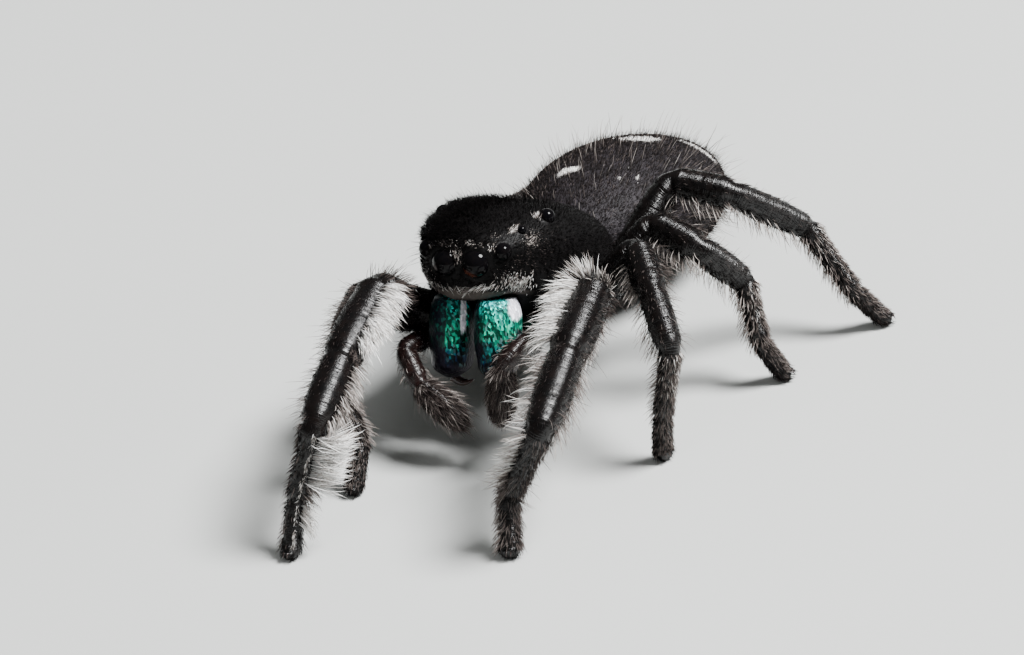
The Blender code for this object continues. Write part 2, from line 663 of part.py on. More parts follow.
def main():
    clear_objects()
    black = material("leg_black", BLACK, 0.25)
    coat = material("abdomen_coat", GREY_BLACK, 0.6)
    shell = material("carapace_black", BLACK, 0.5)
    lens = material("eye", EYE_BLACK, 0.03)
    teal = material("chelicera_teal", TEAL, 0.3, 0.8)
    brown = material("palp_brown", RED_BROWN, 0.3)

    head = head_shape("cephalothorax", shell)
    head_cutter = head_shape("head_cutter", shell, GAP)
    eye_cutter = head_shape("eye_cutter", shell, EYE_GAP)
    abdomen = abdomen_shape("abdomen", coat)
    abdomen_cutter = abdomen_shape("abdomen_cutter", coat, GAP)
    cut_by(abdomen, [head_cutter])

    pieces = [head, abdomen]
    neck = pedicel(shell)
    cut_by(neck, [head_cutter, abdomen_cutter])
    pieces.append(neck)
    for side in ("left", "right"):
        for label, (centre, radius) in EYES.items():
            ball = eye("eye_%s_%s" % (label, side), mirrored(centre, side), radius, lens)
            cut_by(ball, [eye_cutter])
            pieces.append(ball)
        jaw = chelicera("chelicera_" + side, side, teal)
        jaw_cutter = chelicera("jaw_cutter", side, teal, FINE_GAP)
        cut_by(jaw, [head_cutter])
        thigh_cutters = [thigh_shape("thigh_cutter", side, number, black, FINE_GAP) for number in (1, 2, 3, 4)]
        arm, bulb = palp(side, brown)
        cut_by(arm, [head_cutter, jaw_cutter, thigh_cutters[0]])
        spout = spinneret(side, coat)
        cut_by(spout, [abdomen_cutter])
        pieces += [jaw, fang(side, brown), arm, bulb, spout]
        for number in (1, 2, 3, 4):
            thigh, shank, foot = leg_pieces(side, number, black)
            neighbours = [jaw_cutter] if number == 1 else [thigh_cutters[number - 2]]
            cut_by(thigh, [head_cutter, abdomen_cutter] + neighbours)
            pieces += [thigh, shank, foot]
        for cutter in thigh_cutters + [jaw_cutter]:
            bpy.data.objects.remove(cutter, do_unlink=True)
    for cutter in (head_cutter, eye_cutter, abdomen_cutter):
        bpy.data.objects.remove(cutter, do_unlink=True)
    add_coat(pieces)
    centre_on_base(pieces)


main()
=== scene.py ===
"""Looks of the bold jumping spider: skin, eyes, jaws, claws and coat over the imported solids.

Shapes are worked out in millimetres in the solids' drawing frame, where the animal
faces -Y and its left side is at +X, and moved into the model's frame at the end.
"""
import math

import bpy
import numpy as np
from mathutils import Matrix, Vector
from mathutils.kdtree import KDTree


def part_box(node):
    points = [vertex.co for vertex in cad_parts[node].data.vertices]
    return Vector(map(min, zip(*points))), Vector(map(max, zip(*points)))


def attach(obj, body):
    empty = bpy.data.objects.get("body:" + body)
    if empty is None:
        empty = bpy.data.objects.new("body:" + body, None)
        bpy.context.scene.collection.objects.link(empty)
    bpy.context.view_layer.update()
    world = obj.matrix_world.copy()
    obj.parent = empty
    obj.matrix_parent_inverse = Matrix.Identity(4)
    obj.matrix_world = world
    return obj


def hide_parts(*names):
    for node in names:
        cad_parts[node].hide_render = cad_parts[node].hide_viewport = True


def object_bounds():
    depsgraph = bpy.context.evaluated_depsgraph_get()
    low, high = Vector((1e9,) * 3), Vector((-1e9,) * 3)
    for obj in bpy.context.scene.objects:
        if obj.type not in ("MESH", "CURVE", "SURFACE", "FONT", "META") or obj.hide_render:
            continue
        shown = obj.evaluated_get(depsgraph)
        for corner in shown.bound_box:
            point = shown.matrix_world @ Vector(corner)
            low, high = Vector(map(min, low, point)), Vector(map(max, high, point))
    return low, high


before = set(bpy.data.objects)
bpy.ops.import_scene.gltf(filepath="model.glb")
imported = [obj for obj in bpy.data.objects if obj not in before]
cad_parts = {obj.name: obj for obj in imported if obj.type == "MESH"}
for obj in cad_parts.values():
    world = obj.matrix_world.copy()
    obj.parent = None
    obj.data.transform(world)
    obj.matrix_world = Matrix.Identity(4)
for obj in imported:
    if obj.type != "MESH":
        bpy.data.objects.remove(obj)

CAD_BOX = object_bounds()
MM = 0.001
SEED = 20
SIDES = ("left", "right")
chance = np.random.default_rng(SEED)

# Carriage of the body: nose up, height of the carapace's edge, left side up
BODY_PITCH = math.radians(8.5)
BODY_HEIGHT = 2.60
BODY_LEAN = 0.05

# Cephalothorax: place along the body, half width, top, widest level, bottom
HEAD_SECTIONS = [
    (-2.38, 0.58, 1.78, 1.40, 0.46),
    (-2.27, 0.87, 1.95, 1.38, 0.42),
    (-2.05, 1.14, 2.08, 1.33, 0.38),
    (-1.66, 1.44, 2.19, 1.21, 0.32),
    (-1.20, 1.61, 2.25, 1.00, -0.42),
    (-0.50, 1.83, 2.23, 0.70, -0.62),
    (0.20, 1.96, 2.05, 0.52, -0.66),
    (0.90, 1.98, 1.80, 0.42, -0.64),
    (1.50, 1.80, 1.40, 0.38, -0.56),
    (1.98, 1.40, 1.02, 0.34, -0.40),
    (2.24, 0.85, 0.74, 0.30, -0.12),
]
FACE_POLE = (0.0, -2.46, 1.28)
NAPE_POLE = (0.0, 2.32, 0.30)
FACE_SHARES = (0.15, 0.35, 0.55, 0.75, 0.9)
NAPE_SHARES = (0.85, 0.6, 0.35, 0.15)
HEAD_SQUARENESS = 2.8
HEAD_SIDES = 180
HEAD_RINGS = 150
SKIN_DEPTH = 0.05

# Lip round each eye, in shares of the eye's radius
LIP_HEIGHT = 0.16
LIP_PLACE = 1.02
LIP_WIDTH = 0.24

# Abdomen over the floor
ABDOMEN_CENTRE = np.array((0.0, 5.50, 1.90))
ABDOMEN_HALF = np.array((2.16, 3.14, 1.46))
ABDOMEN_PITCH = math.radians(8.5)
ABDOMEN_YAW = math.radians(-5.0)
ABDOMEN_SQUARENESS = 2.15
ABDOMEN_EGG = -0.05
ABDOMEN_SKIN = 0.98
ABDOMEN_RINGS = 130
ABDOMEN_SIDES = 150
ABDOMEN_GAP = 0.02

# Pedicel: its start in the head's frame and its end in the abdomen's
PEDICEL_START = (0.0, 1.70, -0.26)
PEDICEL_END = (0.0, -2.60, -0.62)
PEDICEL_RADIUS = 0.30

# Eyes on the left side, in the head's frame: centre, radius
EYES = {
    "front_middle": ((0.37, -2.29, 1.39), 0.34),
    "front_side": ((0.95, -2.11, 1.61), 0.20),
    "middle_small": ((1.17, -1.56, 1.94), 0.10),
    "rear_side": ((1.31, -0.62, 1.94), 0.19),
}
EYE_RINGS = 40
EYE_SIDES = 64
EYE_GAP = 0.03

# Jaws in the head's frame, and shares of their length, half width and half depth
CHELICERA_TOP = (0.55, -1.80, 0.50)
CHELICERA_BOTTOM = (0.60, -2.12, -1.42)
CHELICERA_HALF_WIDTH = 0.50
CHELICERA_HALF_DEPTH = 0.70
CHELICERA_PROFILE = [(0.0, 0.80, 0.72), (0.10, 0.93, 0.86), (0.34, 0.98, 1.0), (0.70, 0.90, 0.88),
                     (0.92, 0.64, 0.62), (0.985, 0.30, 0.28)]
CHELICERA_SINK = 0.10
CHELICERA_RINGS = 70
CHELICERA_SIDES = 64

# Legs: root on the body in the head's frame, for legs one to four
LEG_ROOTS = [(1.28, -1.30, -0.30), (1.32, -0.40, -0.34), (1.25, 0.46, -0.34), (1.02, 1.36, -0.34)]

# Joints of each leg over the floor: knee, patella's end, tibia's end, metatarsus' end, toe
LEG_JOINTS = {
    ("left", 1): [(3.47, -2.48, 4.20), (3.81, -4.62, 3.79), (4.02, -6.66, 3.00),
                  (2.90, -6.48, 1.20), (3.05, -7.07, 0.12)],
    ("left", 2): [(3.54, -0.42, 4.13), (4.41, -1.59, 3.77), (5.11, -2.41, 2.83),
                  (4.69, -2.47, 1.14), (4.51, -2.38, 0.12)],
    ("left", 3): [(3.18, 1.18, 3.92), (4.38, 0.85, 3.59), (4.93, 1.73, 2.36),
                  (5.34, 1.30, 1.07), (5.64, 1.58, 0.12)],
    ("left", 4): [(2.94, 2.75, 4.18), (4.33, 2.84, 3.94), (5.42, 4.09, 2.56),
                  (6.43, 4.04, 1.02), (6.84, 4.47, 0.12)],
    ("right", 1): [(-1.63, -3.18, 4.03), (-1.30, -5.62, 3.63), (-1.21, -7.25, 2.89),
                   (-1.75, -7.67, 1.19), (-1.81, -8.14, 0.12)],
    ("right", 2): [(-2.82, -1.85, 3.20), (-2.58, -3.30, 2.92), (-2.15, -4.65, 2.20),
                   (-1.70, -4.80, 1.10), (-1.75, -5.30, 0.12)],
    ("right", 3): [(-2.42, 2.00, 2.66), (-3.05, 3.00, 2.40), (-3.60, 3.95, 1.50),
                   (-3.75, 4.60, 0.75), (-3.65, 5.25, 0.12)],
    ("right", 4): [(-2.78, 4.40, 1.68), (-3.00, 5.80, 1.45), (-3.10, 7.35, 1.00),
                   (-3.10, 8.60, 0.60), (-3.05, 9.25, 0.12)],
}
LEGS = [(side, number) for side in SIDES for number in (1, 2, 3, 4)]

# Half thickness along a leg
FRONT_LEG = dict(root=0.34, thigh=0.54, knee=0.50, patella=0.50, tibia=0.45, ankle=0.38,
                 foot=0.32, toe=0.27)
OTHER_LEG = dict(root=0.33, thigh=0.42, knee=0.37, patella=0.37, tibia=0.34, ankle=0.29,
                 foot=0.27, toe=0.25)

# Profile of a leg: joint, share of the way to the next, and shares of a half thickness
# across and upright
LEG_PROFILE = [
    (0, 0.00, "root", 1.0, 1.0), (0, 0.22, "root", 1.0, 1.0), (0, 0.45, "thigh", 0.92, 1.0),
    (0, 0.72, "thigh", 0.92, 1.0), (0, 1.00, "knee", 0.88, 0.88), (1, 0.35, "patella", 1.0, 1.0),
    (1, 0.80, "patella", 1.0, 1.0), (2, 0.05, "tibia", 0.92, 0.92), (2, 0.30, "tibia", 1.0, 1.0),
    (2, 0.75, "tibia", 0.95, 0.95), (3, 0.00, "ankle", 0.92, 0.92), (3, 0.35, "foot", 0.82, 0.82),
    (3, 0.85, "foot", 0.80, 0.80), (4, 0.25, "toe", 0.82, 0.82), (4, 0.75, "toe", 0.85, 0.80),
]
LIMB_SKIN = 0.94
LIMB_STEP = 0.05
LIMB_SIDES = 24
LIMB_SMOOTHING = 6
THIGH_SAG = 0.10
THIGH_BOW = 0.35
BOW_PLACES = np.array((0.0, 0.18, 0.42, 0.68, 0.88))
BOW_SHARES = (0.0, 0.5, 1.0, 0.5, 0.0)
PAD_HEIGHT = 0.25
PAD_REACH = 0.20
PAD_LIFT = 0.06

# Each joint is drawn in, with a swelling on either side of it
CREASE_DEPTH = 0.15
CREASE_WIDTH = 0.08
SWELL_HEIGHT = 0.05
SWELL_PLACE = 0.2
SWELL_WIDTH = 0.09

# How far a limb reaches into what carries it
LEG_DEPTH = 0.4
PALP_DEPTH = 0.3
SPINNERET_DEPTH = 0.6

# Palps over the floor: root, knee, wrist, tip
PALPS = {
    "left": [(1.34, -2.04, 2.30), (1.58, -2.80, 2.80), (1.30, -3.25, 2.42), (1.10, -3.38, 1.05)],
    "right": [(-1.36, -2.00, 2.22), (-1.40, -2.85, 2.36), (-0.92, -3.22, 1.75), (0.28, -3.50, 0.94)],
}
PALP_ARM = 0.25
PALP_BULB = 0.33
PALP_PROFILE = [
    (0, 0.0, PALP_ARM), (0, 0.6, PALP_ARM * 1.05), (1, 0.0, PALP_ARM), (1, 0.6, PALP_ARM * 1.08),
    (2, 0.0, PALP_ARM * 0.95), (2, 0.35, PALP_BULB * 0.92), (2, 0.65, PALP_BULB * 0.88),
    (2, 0.88, PALP_BULB * 0.55), (2, 1.0, PALP_BULB * 0.12),
]

# Spinnerets, in the abdomen's frame
SPINNERET_ROOT = (0.22, 2.72, -0.20)
SPINNERET_TIP = (0.30, 3.36, -0.24)
SPINNERET_RADIUS = 0.20

# Fangs and claws: points of each hook from its root, toward the middle or ahead, and its radii
FANG_ROOT = (0.14, 0.24, -0.12)
FANG_HOOK = ((0.0, 0.0, 0.0), (-0.22, 0.04, -0.15), (-0.49, 0.08, -0.09))
FANG_RADII = (0.12, 0.09, 0.02)
CLAW_APART = 0.05
CLAW_LIFT = 0.04
CLAW_DEPTH = 0.05
CLAW_HOOK = ((0.10, 0.04), (0.16, -0.05))
CLAW_RADII = (0.025, 0.02, 0.004)
CLAW_SIDES = 8
CLAW_CLEARANCE = 0.012
HOOK_RINGS = 18

# Marks on the large front eyes: side, direction in the picture, edge and blur
EYE_MARKS = [("rim", "left", (-0.50, -0.86, 0.12), 0.80, 0.14),
             ("glint", "right", (-0.84, -0.40, 0.36), 0.955, 0.035)]

# Camera, fitted to the photograph: turn toward +X, height, roll, distance and target
CAMERA_TURN = math.radians(30.978)
CAMERA_HEIGHT = math.radians(26.898)
CAMERA_ROLL = math.radians(-9.319)
CAMERA_DISTANCE = 140.0
CAMERA_TARGET = np.array((0.22, -0.764, 2.0))
PIXELS_PER_MM = 44.492
IMAGE_WIDTH = 1024
SENSOR_WIDTH = 36.0

# Lights: direction in the picture, distance, size and watts
KEY_LIGHT = ((0.42, 0.73, 0.48), 240.0, 100.0, 2.7)
FRONT_LIGHT = ((-0.35, 0.35, 0.87), 320.0, 260.0, 0.35)
WORLD_COLOUR = (0.90, 0.95, 0.92, 1.0)
WORLD_STRENGTH = 0.13
FLOOR_REACH = 0.6
FLOOR_LEVEL = -2e-5

BAKE_PATCH = 0.003
PIECE_LIMIT = 190000
SHARP_EDGE = math.radians(55)
SHELL, FRONT_LEG_SKIN, LEG_SKIN, FUR_SKIN, PALP_SKIN = range(5)


def unit(vectors):
    vectors = np.asarray(vectors, float)
    return vectors / np.maximum(np.linalg.norm(vectors, axis=-1, keepdims=True), 1e-9)


def over_floor(points):
    """Points of the head's frame, leaned, pitched nose up and lifted over the floor."""
    points = np.asarray(points, float)
    x, y, z = points[..., 0], points[..., 1], points[..., 2] + BODY_LEAN * points[..., 0]
    cosine, sine = math.cos(BODY_PITCH), math.sin(BODY_PITCH)
    return np.stack((x, y * cosine + z * sine, BODY_HEIGHT - y * sine + z * cosine), axis=-1)


def in_head(points):
    """The head's frame again, for points over the floor."""
    x, y, z = points[..., 0], points[..., 1], points[..., 2] - BODY_HEIGHT
    cosine, sine = math.cos(BODY_PITCH), math.sin(BODY_PITCH)
    return np.stack((x, y * cosine - z * sine, y * sine + z * cosine - BODY_LEAN * x), axis=-1)


def mirrored(point, side):
    return np.array((point[0] if side == "left" else -point[0], point[1], point[2]), float)


def drawing_shift():
    """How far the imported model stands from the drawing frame."""
    low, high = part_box("cephalothorax")
    nape = over_floor(NAPE_POLE)
    return np.array(((low.x + high.x) / 2.0 / MM, high.y / MM - nape[1], 0.0))


SHIFT = drawing_shift()


def to_model(points):
    return (np.asarray(points, float) + SHIFT) * MM


def from_model(points):
    return np.asarray(points, float) / MM - SHIFT


def smooth(places, values, at):
    """Values on a smooth curve through the given ones."""
    places, values, at = np.asarray(places, float), np.asarray(values, float), np.asarray(at, float)
    slopes = np.gradient(values, places, axis=0)
    i = np.clip(np.searchsorted(places, at) - 1, 0, len(places) - 2)
    step = places[i + 1] - places[i]
    t = (at - places[i]) / step
    if values.ndim > 1:
        step, t = step[:, None], t[:, None]
    near = (2 * t ** 3 - 3 * t ** 2 + 1) * values[i] + (t ** 3 - 2 * t ** 2 + t) * step * slopes[i]
    far = (3 * t ** 2 - 2 * t ** 3) * values[i + 1] + (t ** 3 - t ** 2) * step * slopes[i + 1]
    return near + far


def bell(away, width):
    return np.exp(-(away / width) ** 2)


def eased(values, width):
    """Rises from 0 to 1 while the values go from 0 to the width."""
    return np.clip(values / width, 0.0, 1.0)


def distance(points, place):
    return np.linalg.norm(points - place, axis=-1)


def ring(count):
    """Even angles once round."""
    return 2.0 * math.pi * np.arange(count) / count


def tube(centres, across, upright, half, sides):
    """Rings of points round a path, with a half width and a half height for each."""
    angle = ring(sides)
    across = np.broadcast_to(across, centres.shape)[:, None, :]
    upright = np.broadcast_to(upright, centres.shape)[:, None, :]
    return (centres[:, None, :] + across * (half[:, :1] * np.cos(angle))[..., None]
            + upright * (half[:, 1:] * np.sin(angle))[..., None])


class Surface:
    """A closed form as rings of points, with the frames and places that hairs need."""

    def __init__(self, points, start_pole=None, end_pole=None):
        self.points = points
        self.start_pole = points[0].mean(axis=0) if start_pole is None else np.asarray(start_pole)
        self.end_pole = points[-1].mean(axis=0) if end_pole is None else np.asarray(end_pole)
        self.measure()

    def measure(self):
        along = np.gradient(self.points, axis=0)
        around = (np.roll(self.points, -1, axis=1) - np.roll(self.points, 1, axis=1)) / 2.0
        self.ways = unit(along)
        self.normals = unit(np.cross(along, around))
        outward = self.points - self.points.mean(axis=1, keepdims=True)
        if (self.normals * outward).sum() < 0.0:
            self.normals = -self.normals
        self.areas = np.linalg.norm(np.cross(along, around), axis=-1)
        rings, sides = self.areas.shape
        self.share = np.repeat(np.linspace(0.0, 1.0, rings)[:, None], sides, axis=1)
        self.turn = np.repeat(np.linspace(0.0, 1.0, sides, endpoint=False)[None, :], rings, axis=0)

    def push(self, amounts):
        """Moves the surface out along its normals."""
        self.points = self.points + self.normals * amounts[..., None]
        self.measure()

    def mesh(self):
        rings, sides, _ = self.points.shape
        index = np.arange(rings * sides).reshape(rings, sides)
        beside = np.roll(index, -1, axis=1)
        quads = np.stack((index[:-1], beside[:-1], beside[1:], index[1:]), axis=-1).reshape(-1, 4)
        first, last = rings * sides, rings * sides + 1
        fans = [(int(beside[0, k]), int(index[0, k]), first) for k in range(sides)]
        fans += [(int(index[-1, k]), int(beside[-1, k]), last) for k in range(sides)]
        points = np.concatenate((self.points.reshape(-1, 3), [self.start_pole, self.end_pole]))
        return points, quads.tolist() + fans

    def roots(self, count, density):
        """Random places on the surface, thicker where the density is higher."""
        weights = self.areas * np.maximum(density, 0.0)
        weights[-1] = 0.0
        cells = chance.choice(weights.size, size=count, p=weights.ravel() / weights.sum())
        rings, sides = weights.shape
        i, k = cells // sides, cells % sides
        j, n = i + 1, (k + 1) % sides
        a, b = chance.random(count)[:, None], chance.random(count)[:, None]

        def blend(grid):
            near = grid[i, k] * (1 - a) + grid[j, k] * a
            far = grid[i, n] * (1 - a) + grid[j, n] * a
            return near * (1 - b) + far * b

        return Roots(blend(self.points), unit(blend(self.normals)), unit(blend(self.ways)),
                     self.share[i, k] + a[:, 0] / rings, self.turn[i, k] + b[:, 0] / sides)


class Roots:
    """Where a set of hairs grows: places, outward and lengthwise directions, and places round."""

    def __init__(self, points, normals, ways, share, turn):
        self.points, self.normals, self.ways = points, normals, ways
        self.share, self.turn = share, turn
        self.count = len(points)


def add_item(name, data):
    item = bpy.data.objects.new(name, data)
    bpy.context.scene.collection.objects.link(item)
    return item


def closed_object(name, surface, slot=0, finishes=()):
    points, faces = surface.mesh()
    mesh = bpy.data.meshes.new(name)
    mesh.from_pydata(points.tolist(), [], faces)
    for finish in finishes:
        mesh.materials.append(finish)
    mesh.polygons.foreach_set("material_index", [slot] * len(mesh.polygons))
    mesh.shade_smooth()
    return add_item(name, mesh)


def into_model(item):
    """Moves a drawn mesh into the model's frame, in metres."""
    item.data.transform(Matrix.Scale(MM, 4) @ Matrix.Translation(Vector(SHIFT)))
    return item


def add_float(mesh, name, values):
    mesh.attributes.new(name, "FLOAT", "POINT").data.foreach_set("value", np.asarray(values, np.float32))


def eye_places():
    """Centre over the floor and radius of every eye."""
    return [(over_floor(mirrored(centre, side)), radius) for side in SIDES
            for centre, radius in EYES.values()]


def head_surface():
    """The cephalothorax with a raised lip round each eye."""
    sections = np.array(HEAD_SECTIONS)
    at = np.linspace(sections[0, 0], sections[-1, 0], HEAD_RINGS)
    profile = smooth(sections[:, 0], sections, at)
    angle = ring(HEAD_SIDES)
    across, level = bulged(np.cos(angle), HEAD_SQUARENESS), bulged(np.sin(angle), HEAD_SQUARENESS)
    along, half_width, top, widest, bottom = [column[:, None] for column in profile.T]
    reach = np.where(level[None, :] > 0.0, top - widest - SKIN_DEPTH, widest - bottom - SKIN_DEPTH)
    points = np.stack(((half_width - SKIN_DEPTH) * across[None, :], along + 0.0 * across[None, :],
                       widest + level[None, :] * reach), axis=-1)
    inner = SKIN_DEPTH * 0.5
    front = np.array(FACE_POLE) + (0.0, inner, 0.0)
    back = np.array(NAPE_POLE) - (0.0, inner, 0.0)
    near = [front + (points[0] - front) * share for share in FACE_SHARES]
    far = [back + (points[-1] - back) * share for share in NAPE_SHARES]
    points = np.concatenate((np.array(near), points, np.array(far)))
    surface = Surface(over_floor(points), over_floor(front), over_floor(back))
    lip = np.zeros(surface.areas.shape)
    for centre, radius in eye_places():
        away = distance(surface.points, centre) - LIP_PLACE * radius
        lip += LIP_HEIGHT * radius * bell(away, LIP_WIDTH * radius)
    surface.push(lip)
    return surface


def abdomen_turn():
    """Turn from the abdomen's own frame to the floor's."""
    turned = Matrix.Rotation(ABDOMEN_YAW, 3, "Z") @ Matrix.Rotation(-ABDOMEN_PITCH, 3, "X")
    return np.array(turned)


def abdomen_point(local):
    """Points of the abdomen's own frame, turned and placed over the floor."""
    return ABDOMEN_CENTRE + np.asarray(local, float) @ abdomen_turn().T


def in_abdomen(points):
    """Shares of the abdomen's half sizes, for points over the floor."""
    return (points - ABDOMEN_CENTRE) @ abdomen_turn() / ABDOMEN_HALF


def bulged(values, squareness):
    return np.sign(values) * np.abs(values) ** (2.0 / squareness)


def abdomen_surface():
    angle = np.linspace(ABDOMEN_GAP, math.pi - ABDOMEN_GAP, ABDOMEN_RINGS)[:, None]
    turn = ring(ABDOMEN_SIDES)[None, :]
    along = -np.cos(angle)
    girth = np.sin(angle) * (1.0 + ABDOMEN_EGG * along)
    half = ABDOMEN_HALF * ABDOMEN_SKIN
    across, level = bulged(np.cos(turn), ABDOMEN_SQUARENESS), bulged(np.sin(turn), ABDOMEN_SQUARENESS)
    local = np.stack((half[0] * girth * across, half[1] * along + 0.0 * turn,
                      half[2] * girth * level), axis=-1)
    return Surface(abdomen_point(local))


class Limb(Surface):
    """A bent tube with joints, its rings set across a smoothed path."""

    def __init__(self, joints, profile, across, nodes, sides=LIMB_SIDES, floor=None, bow=None):
        joints = np.asarray(joints, float)
        lengths = np.linalg.norm(np.diff(joints, axis=0), axis=1)
        marks = np.concatenate(([0.0], np.cumsum(lengths)))
        at = np.arange(0.0, marks[-1], LIMB_STEP)
        centres = np.stack([np.interp(at, marks, joints[:, i]) for i in range(3)], axis=1)
        if bow is not None:
            swing = np.interp(at, marks[1] * BOW_PLACES, BOW_SHARES)
            centres = centres + swing[:, None] * bow
        for _ in range(LIMB_SMOOTHING):
            centres[1:-1] = (centres[:-2] + 2.0 * centres[1:-1] + centres[2:]) / 4.0
        ways = unit(np.gradient(centres, axis=0))
        side = unit(across - ways * (ways @ across)[:, None])
        under = np.cross(side, ways)
        places = [marks[piece] + share * lengths[piece] for piece, share, _, _ in profile]
        widths = smooth(places, [half[2:] for half in profile], at)
        narrow = np.ones(len(at))
        for mark in marks[1:nodes]:
            away = at - mark
            crease = CREASE_DEPTH * bell(away, CREASE_WIDTH)
            narrow *= 1.0 - crease + SWELL_HEIGHT * bell(np.abs(away) - SWELL_PLACE, SWELL_WIDTH)
        widths = widths * (LIMB_SKIN * narrow)[:, None]
        points = tube(centres, side, under, widths, sides)
        if floor is not None:
            points[..., 2] = np.maximum(points[..., 2], floor)
        super().__init__(points)
        self.at = np.repeat(at[:, None], sides, axis=1)
        self.marks = marks


def leg_limb(side, number):
    root = over_floor(mirrored(LEG_ROOTS[number - 1], side))
    joints = [root] + [np.array(point) for point in LEG_JOINTS[side, number]]
    toe = joints[5]
    reach = toe - root
    across = unit(np.array((-reach[1], reach[0], 0.0)))
    outward = unit(np.array((reach[0], reach[1], 0.0)))
    start = root - unit(joints[1] - root) * LEG_DEPTH
    size = FRONT_LEG if number == 1 else OTHER_LEG
    path = [start] + joints[1:5] + [toe, toe + outward * PAD_REACH]
    path[5][2] = toe[2] + PAD_LIFT
    bow = np.array((THIGH_BOW if side == "left" else -THIGH_BOW, 0.0, -THIGH_SAG))
    profile = [(piece, share, size[part] * wide, size[part] * high)
               for piece, share, part, wide, high in LEG_PROFILE]
    profile += [(5, 0.3, size["toe"] * 0.85, PAD_HEIGHT * 0.70),
                (5, 1.0, size["toe"] * 0.55, PAD_HEIGHT * 0.45)]
    return Limb(path, profile, across, 5, floor=0.0, bow=bow)


def rounded(steps):
    """A profile whose half width and half height are the same."""
    return [(piece, share, half, half) for piece, share, half in steps]


def palp_limb(side):
    root, knee, wrist, tip = [np.array(point) for point in PALPS[side]]
    level = unit(np.cross(knee - root, tip - wrist))
    start = root - unit(knee - root) * PALP_DEPTH
    return Limb([start, knee, wrist, tip], rounded(PALP_PROFILE), level, 3)


def spinneret_limb(side):
    root = abdomen_point(mirrored(SPINNERET_ROOT, side))
    tip = abdomen_point(mirrored(SPINNERET_TIP, side))
    start = root - unit(tip - root) * SPINNERET_DEPTH
    profile = rounded([(0, share, SPINNERET_RADIUS * part)
                       for share, part in ((0.0, 1.0), (0.7, 1.0), (0.9, 0.9), (1.0, 0.5))])
    return Limb([start, tip], profile, np.array((1.0, 0.0, 0.0)), 0, sides=20)


def pedicel_limb():
    path = [over_floor(PEDICEL_START), abdomen_point(PEDICEL_END)]
    profile = rounded([(0, 0.0, PEDICEL_RADIUS), (0, 1.0, PEDICEL_RADIUS)])
    return Limb(path, profile, np.array((1.0, 0.0, 0.0)), 0)


def chelicera_surface(side):
    """A jaw's stout base segment, bulging in front and tapered below."""
    top = over_floor(mirrored(CHELICERA_TOP, side))
    bottom = over_floor(mirrored(CHELICERA_BOTTOM, side))
    way = unit(bottom - top)
    start = top + way * CHELICERA_SINK
    length = np.linalg.norm(bottom - start)
    places = [share for share, _, _ in CHELICERA_PROFILE]
    sizes = [(CHELICERA_HALF_WIDTH * wide, CHELICERA_HALF_DEPTH * deep)
             for _, wide, deep in CHELICERA_PROFILE]
    share = np.linspace(0.0, places[-1], CHELICERA_RINGS)
    half = smooth(places, sizes, share)
    across = np.array((1.0, 0.0, 0.0))
    across = unit(across - way * (across @ way))
    centres = start + way * (share * length)[:, None]
    points = tube(centres, across, np.cross(across, way), half, CHELICERA_SIDES)
    return Surface(points, end_pole=bottom)


def curved_cone(points, radii, sides=16):
    """A smooth hook through a few points, for fangs and claws."""
    points = np.asarray(points, float)
    share = np.linspace(0.0, 1.0, len(points))
    at = np.linspace(0.0, 1.0, HOOK_RINGS)
    centres = smooth(share, points, at)
    girth = smooth(share, radii, at)
    ways = unit(np.gradient(centres, axis=0))
    level = unit(np.cross(points[1] - points[0], points[-1] - points[0]))
    half = np.stack((girth, girth), axis=1)
    return Surface(tube(centres, level, np.cross(level, ways), half, sides))


def ball_surface(centre, radius):
    angle = np.linspace(EYE_GAP, math.pi - EYE_GAP, EYE_RINGS)[:, None]
    turn = ring(EYE_SIDES)[None, :]
    local = np.stack((np.sin(angle) * np.cos(turn), -np.cos(angle) + 0.0 * turn,
                      np.sin(angle) * np.sin(turn)), axis=-1)
    pole = np.array((0.0, radius, 0.0))
    return Surface(centre + radius * local, centre - pole, centre + pole)


# Coat: shares of a hair's length and thickness for each number of stations
HAIR_SHAPES = {
    3: ((0.0, 1.0), (0.6, 0.75), (1.0, 0.0)),
    4: ((0.0, 1.0), (0.4, 0.9), (0.75, 0.6), (1.0, 0.0)),
}
HAIR_CORNERS = (math.pi / 2.0, math.pi * 7.0 / 6.0, math.pi * 11.0 / 6.0)
HAIR_SWAY = 0.25
HAIR_BEND = 0.12
HAIR_SCATTER = 0.3
BEND_STEPS = 8
SHORTENINGS = 5
SHORTENED = 0.75
ROOM_ABOVE = 0.10
ROOM_ROUND = 0.25
ROOM_BELOW = 0.01


def hair_triangles(stations):
    """Faces of one three-sided hair that tapers to a point, closed at its root."""
    faces = [(0, 2, 1)]
    for band in range(stations - 2):
        for k in range(3):
            a, b = band * 3 + k, band * 3 + (k + 1) % 3
            faces += [(a, b, b + 3), (a, b + 3, a + 3)]
    last, tip = (stations - 2) * 3, (stations - 1) * 3
    faces += [(last + k, last + (k + 1) % 3, tip) for k in range(3)]
    return np.array(faces)


def spread(count, middle, share):
    """Values scattered about a middle one."""
    return np.asarray(middle) * chance.uniform(1.0 - share, 1.0 + share, count)


def for_each(count, value):
    """One value for each hair: scattered where a middle and a share are given."""
    return spread(count, *value) if isinstance(value, tuple) else np.broadcast_to(value, count)


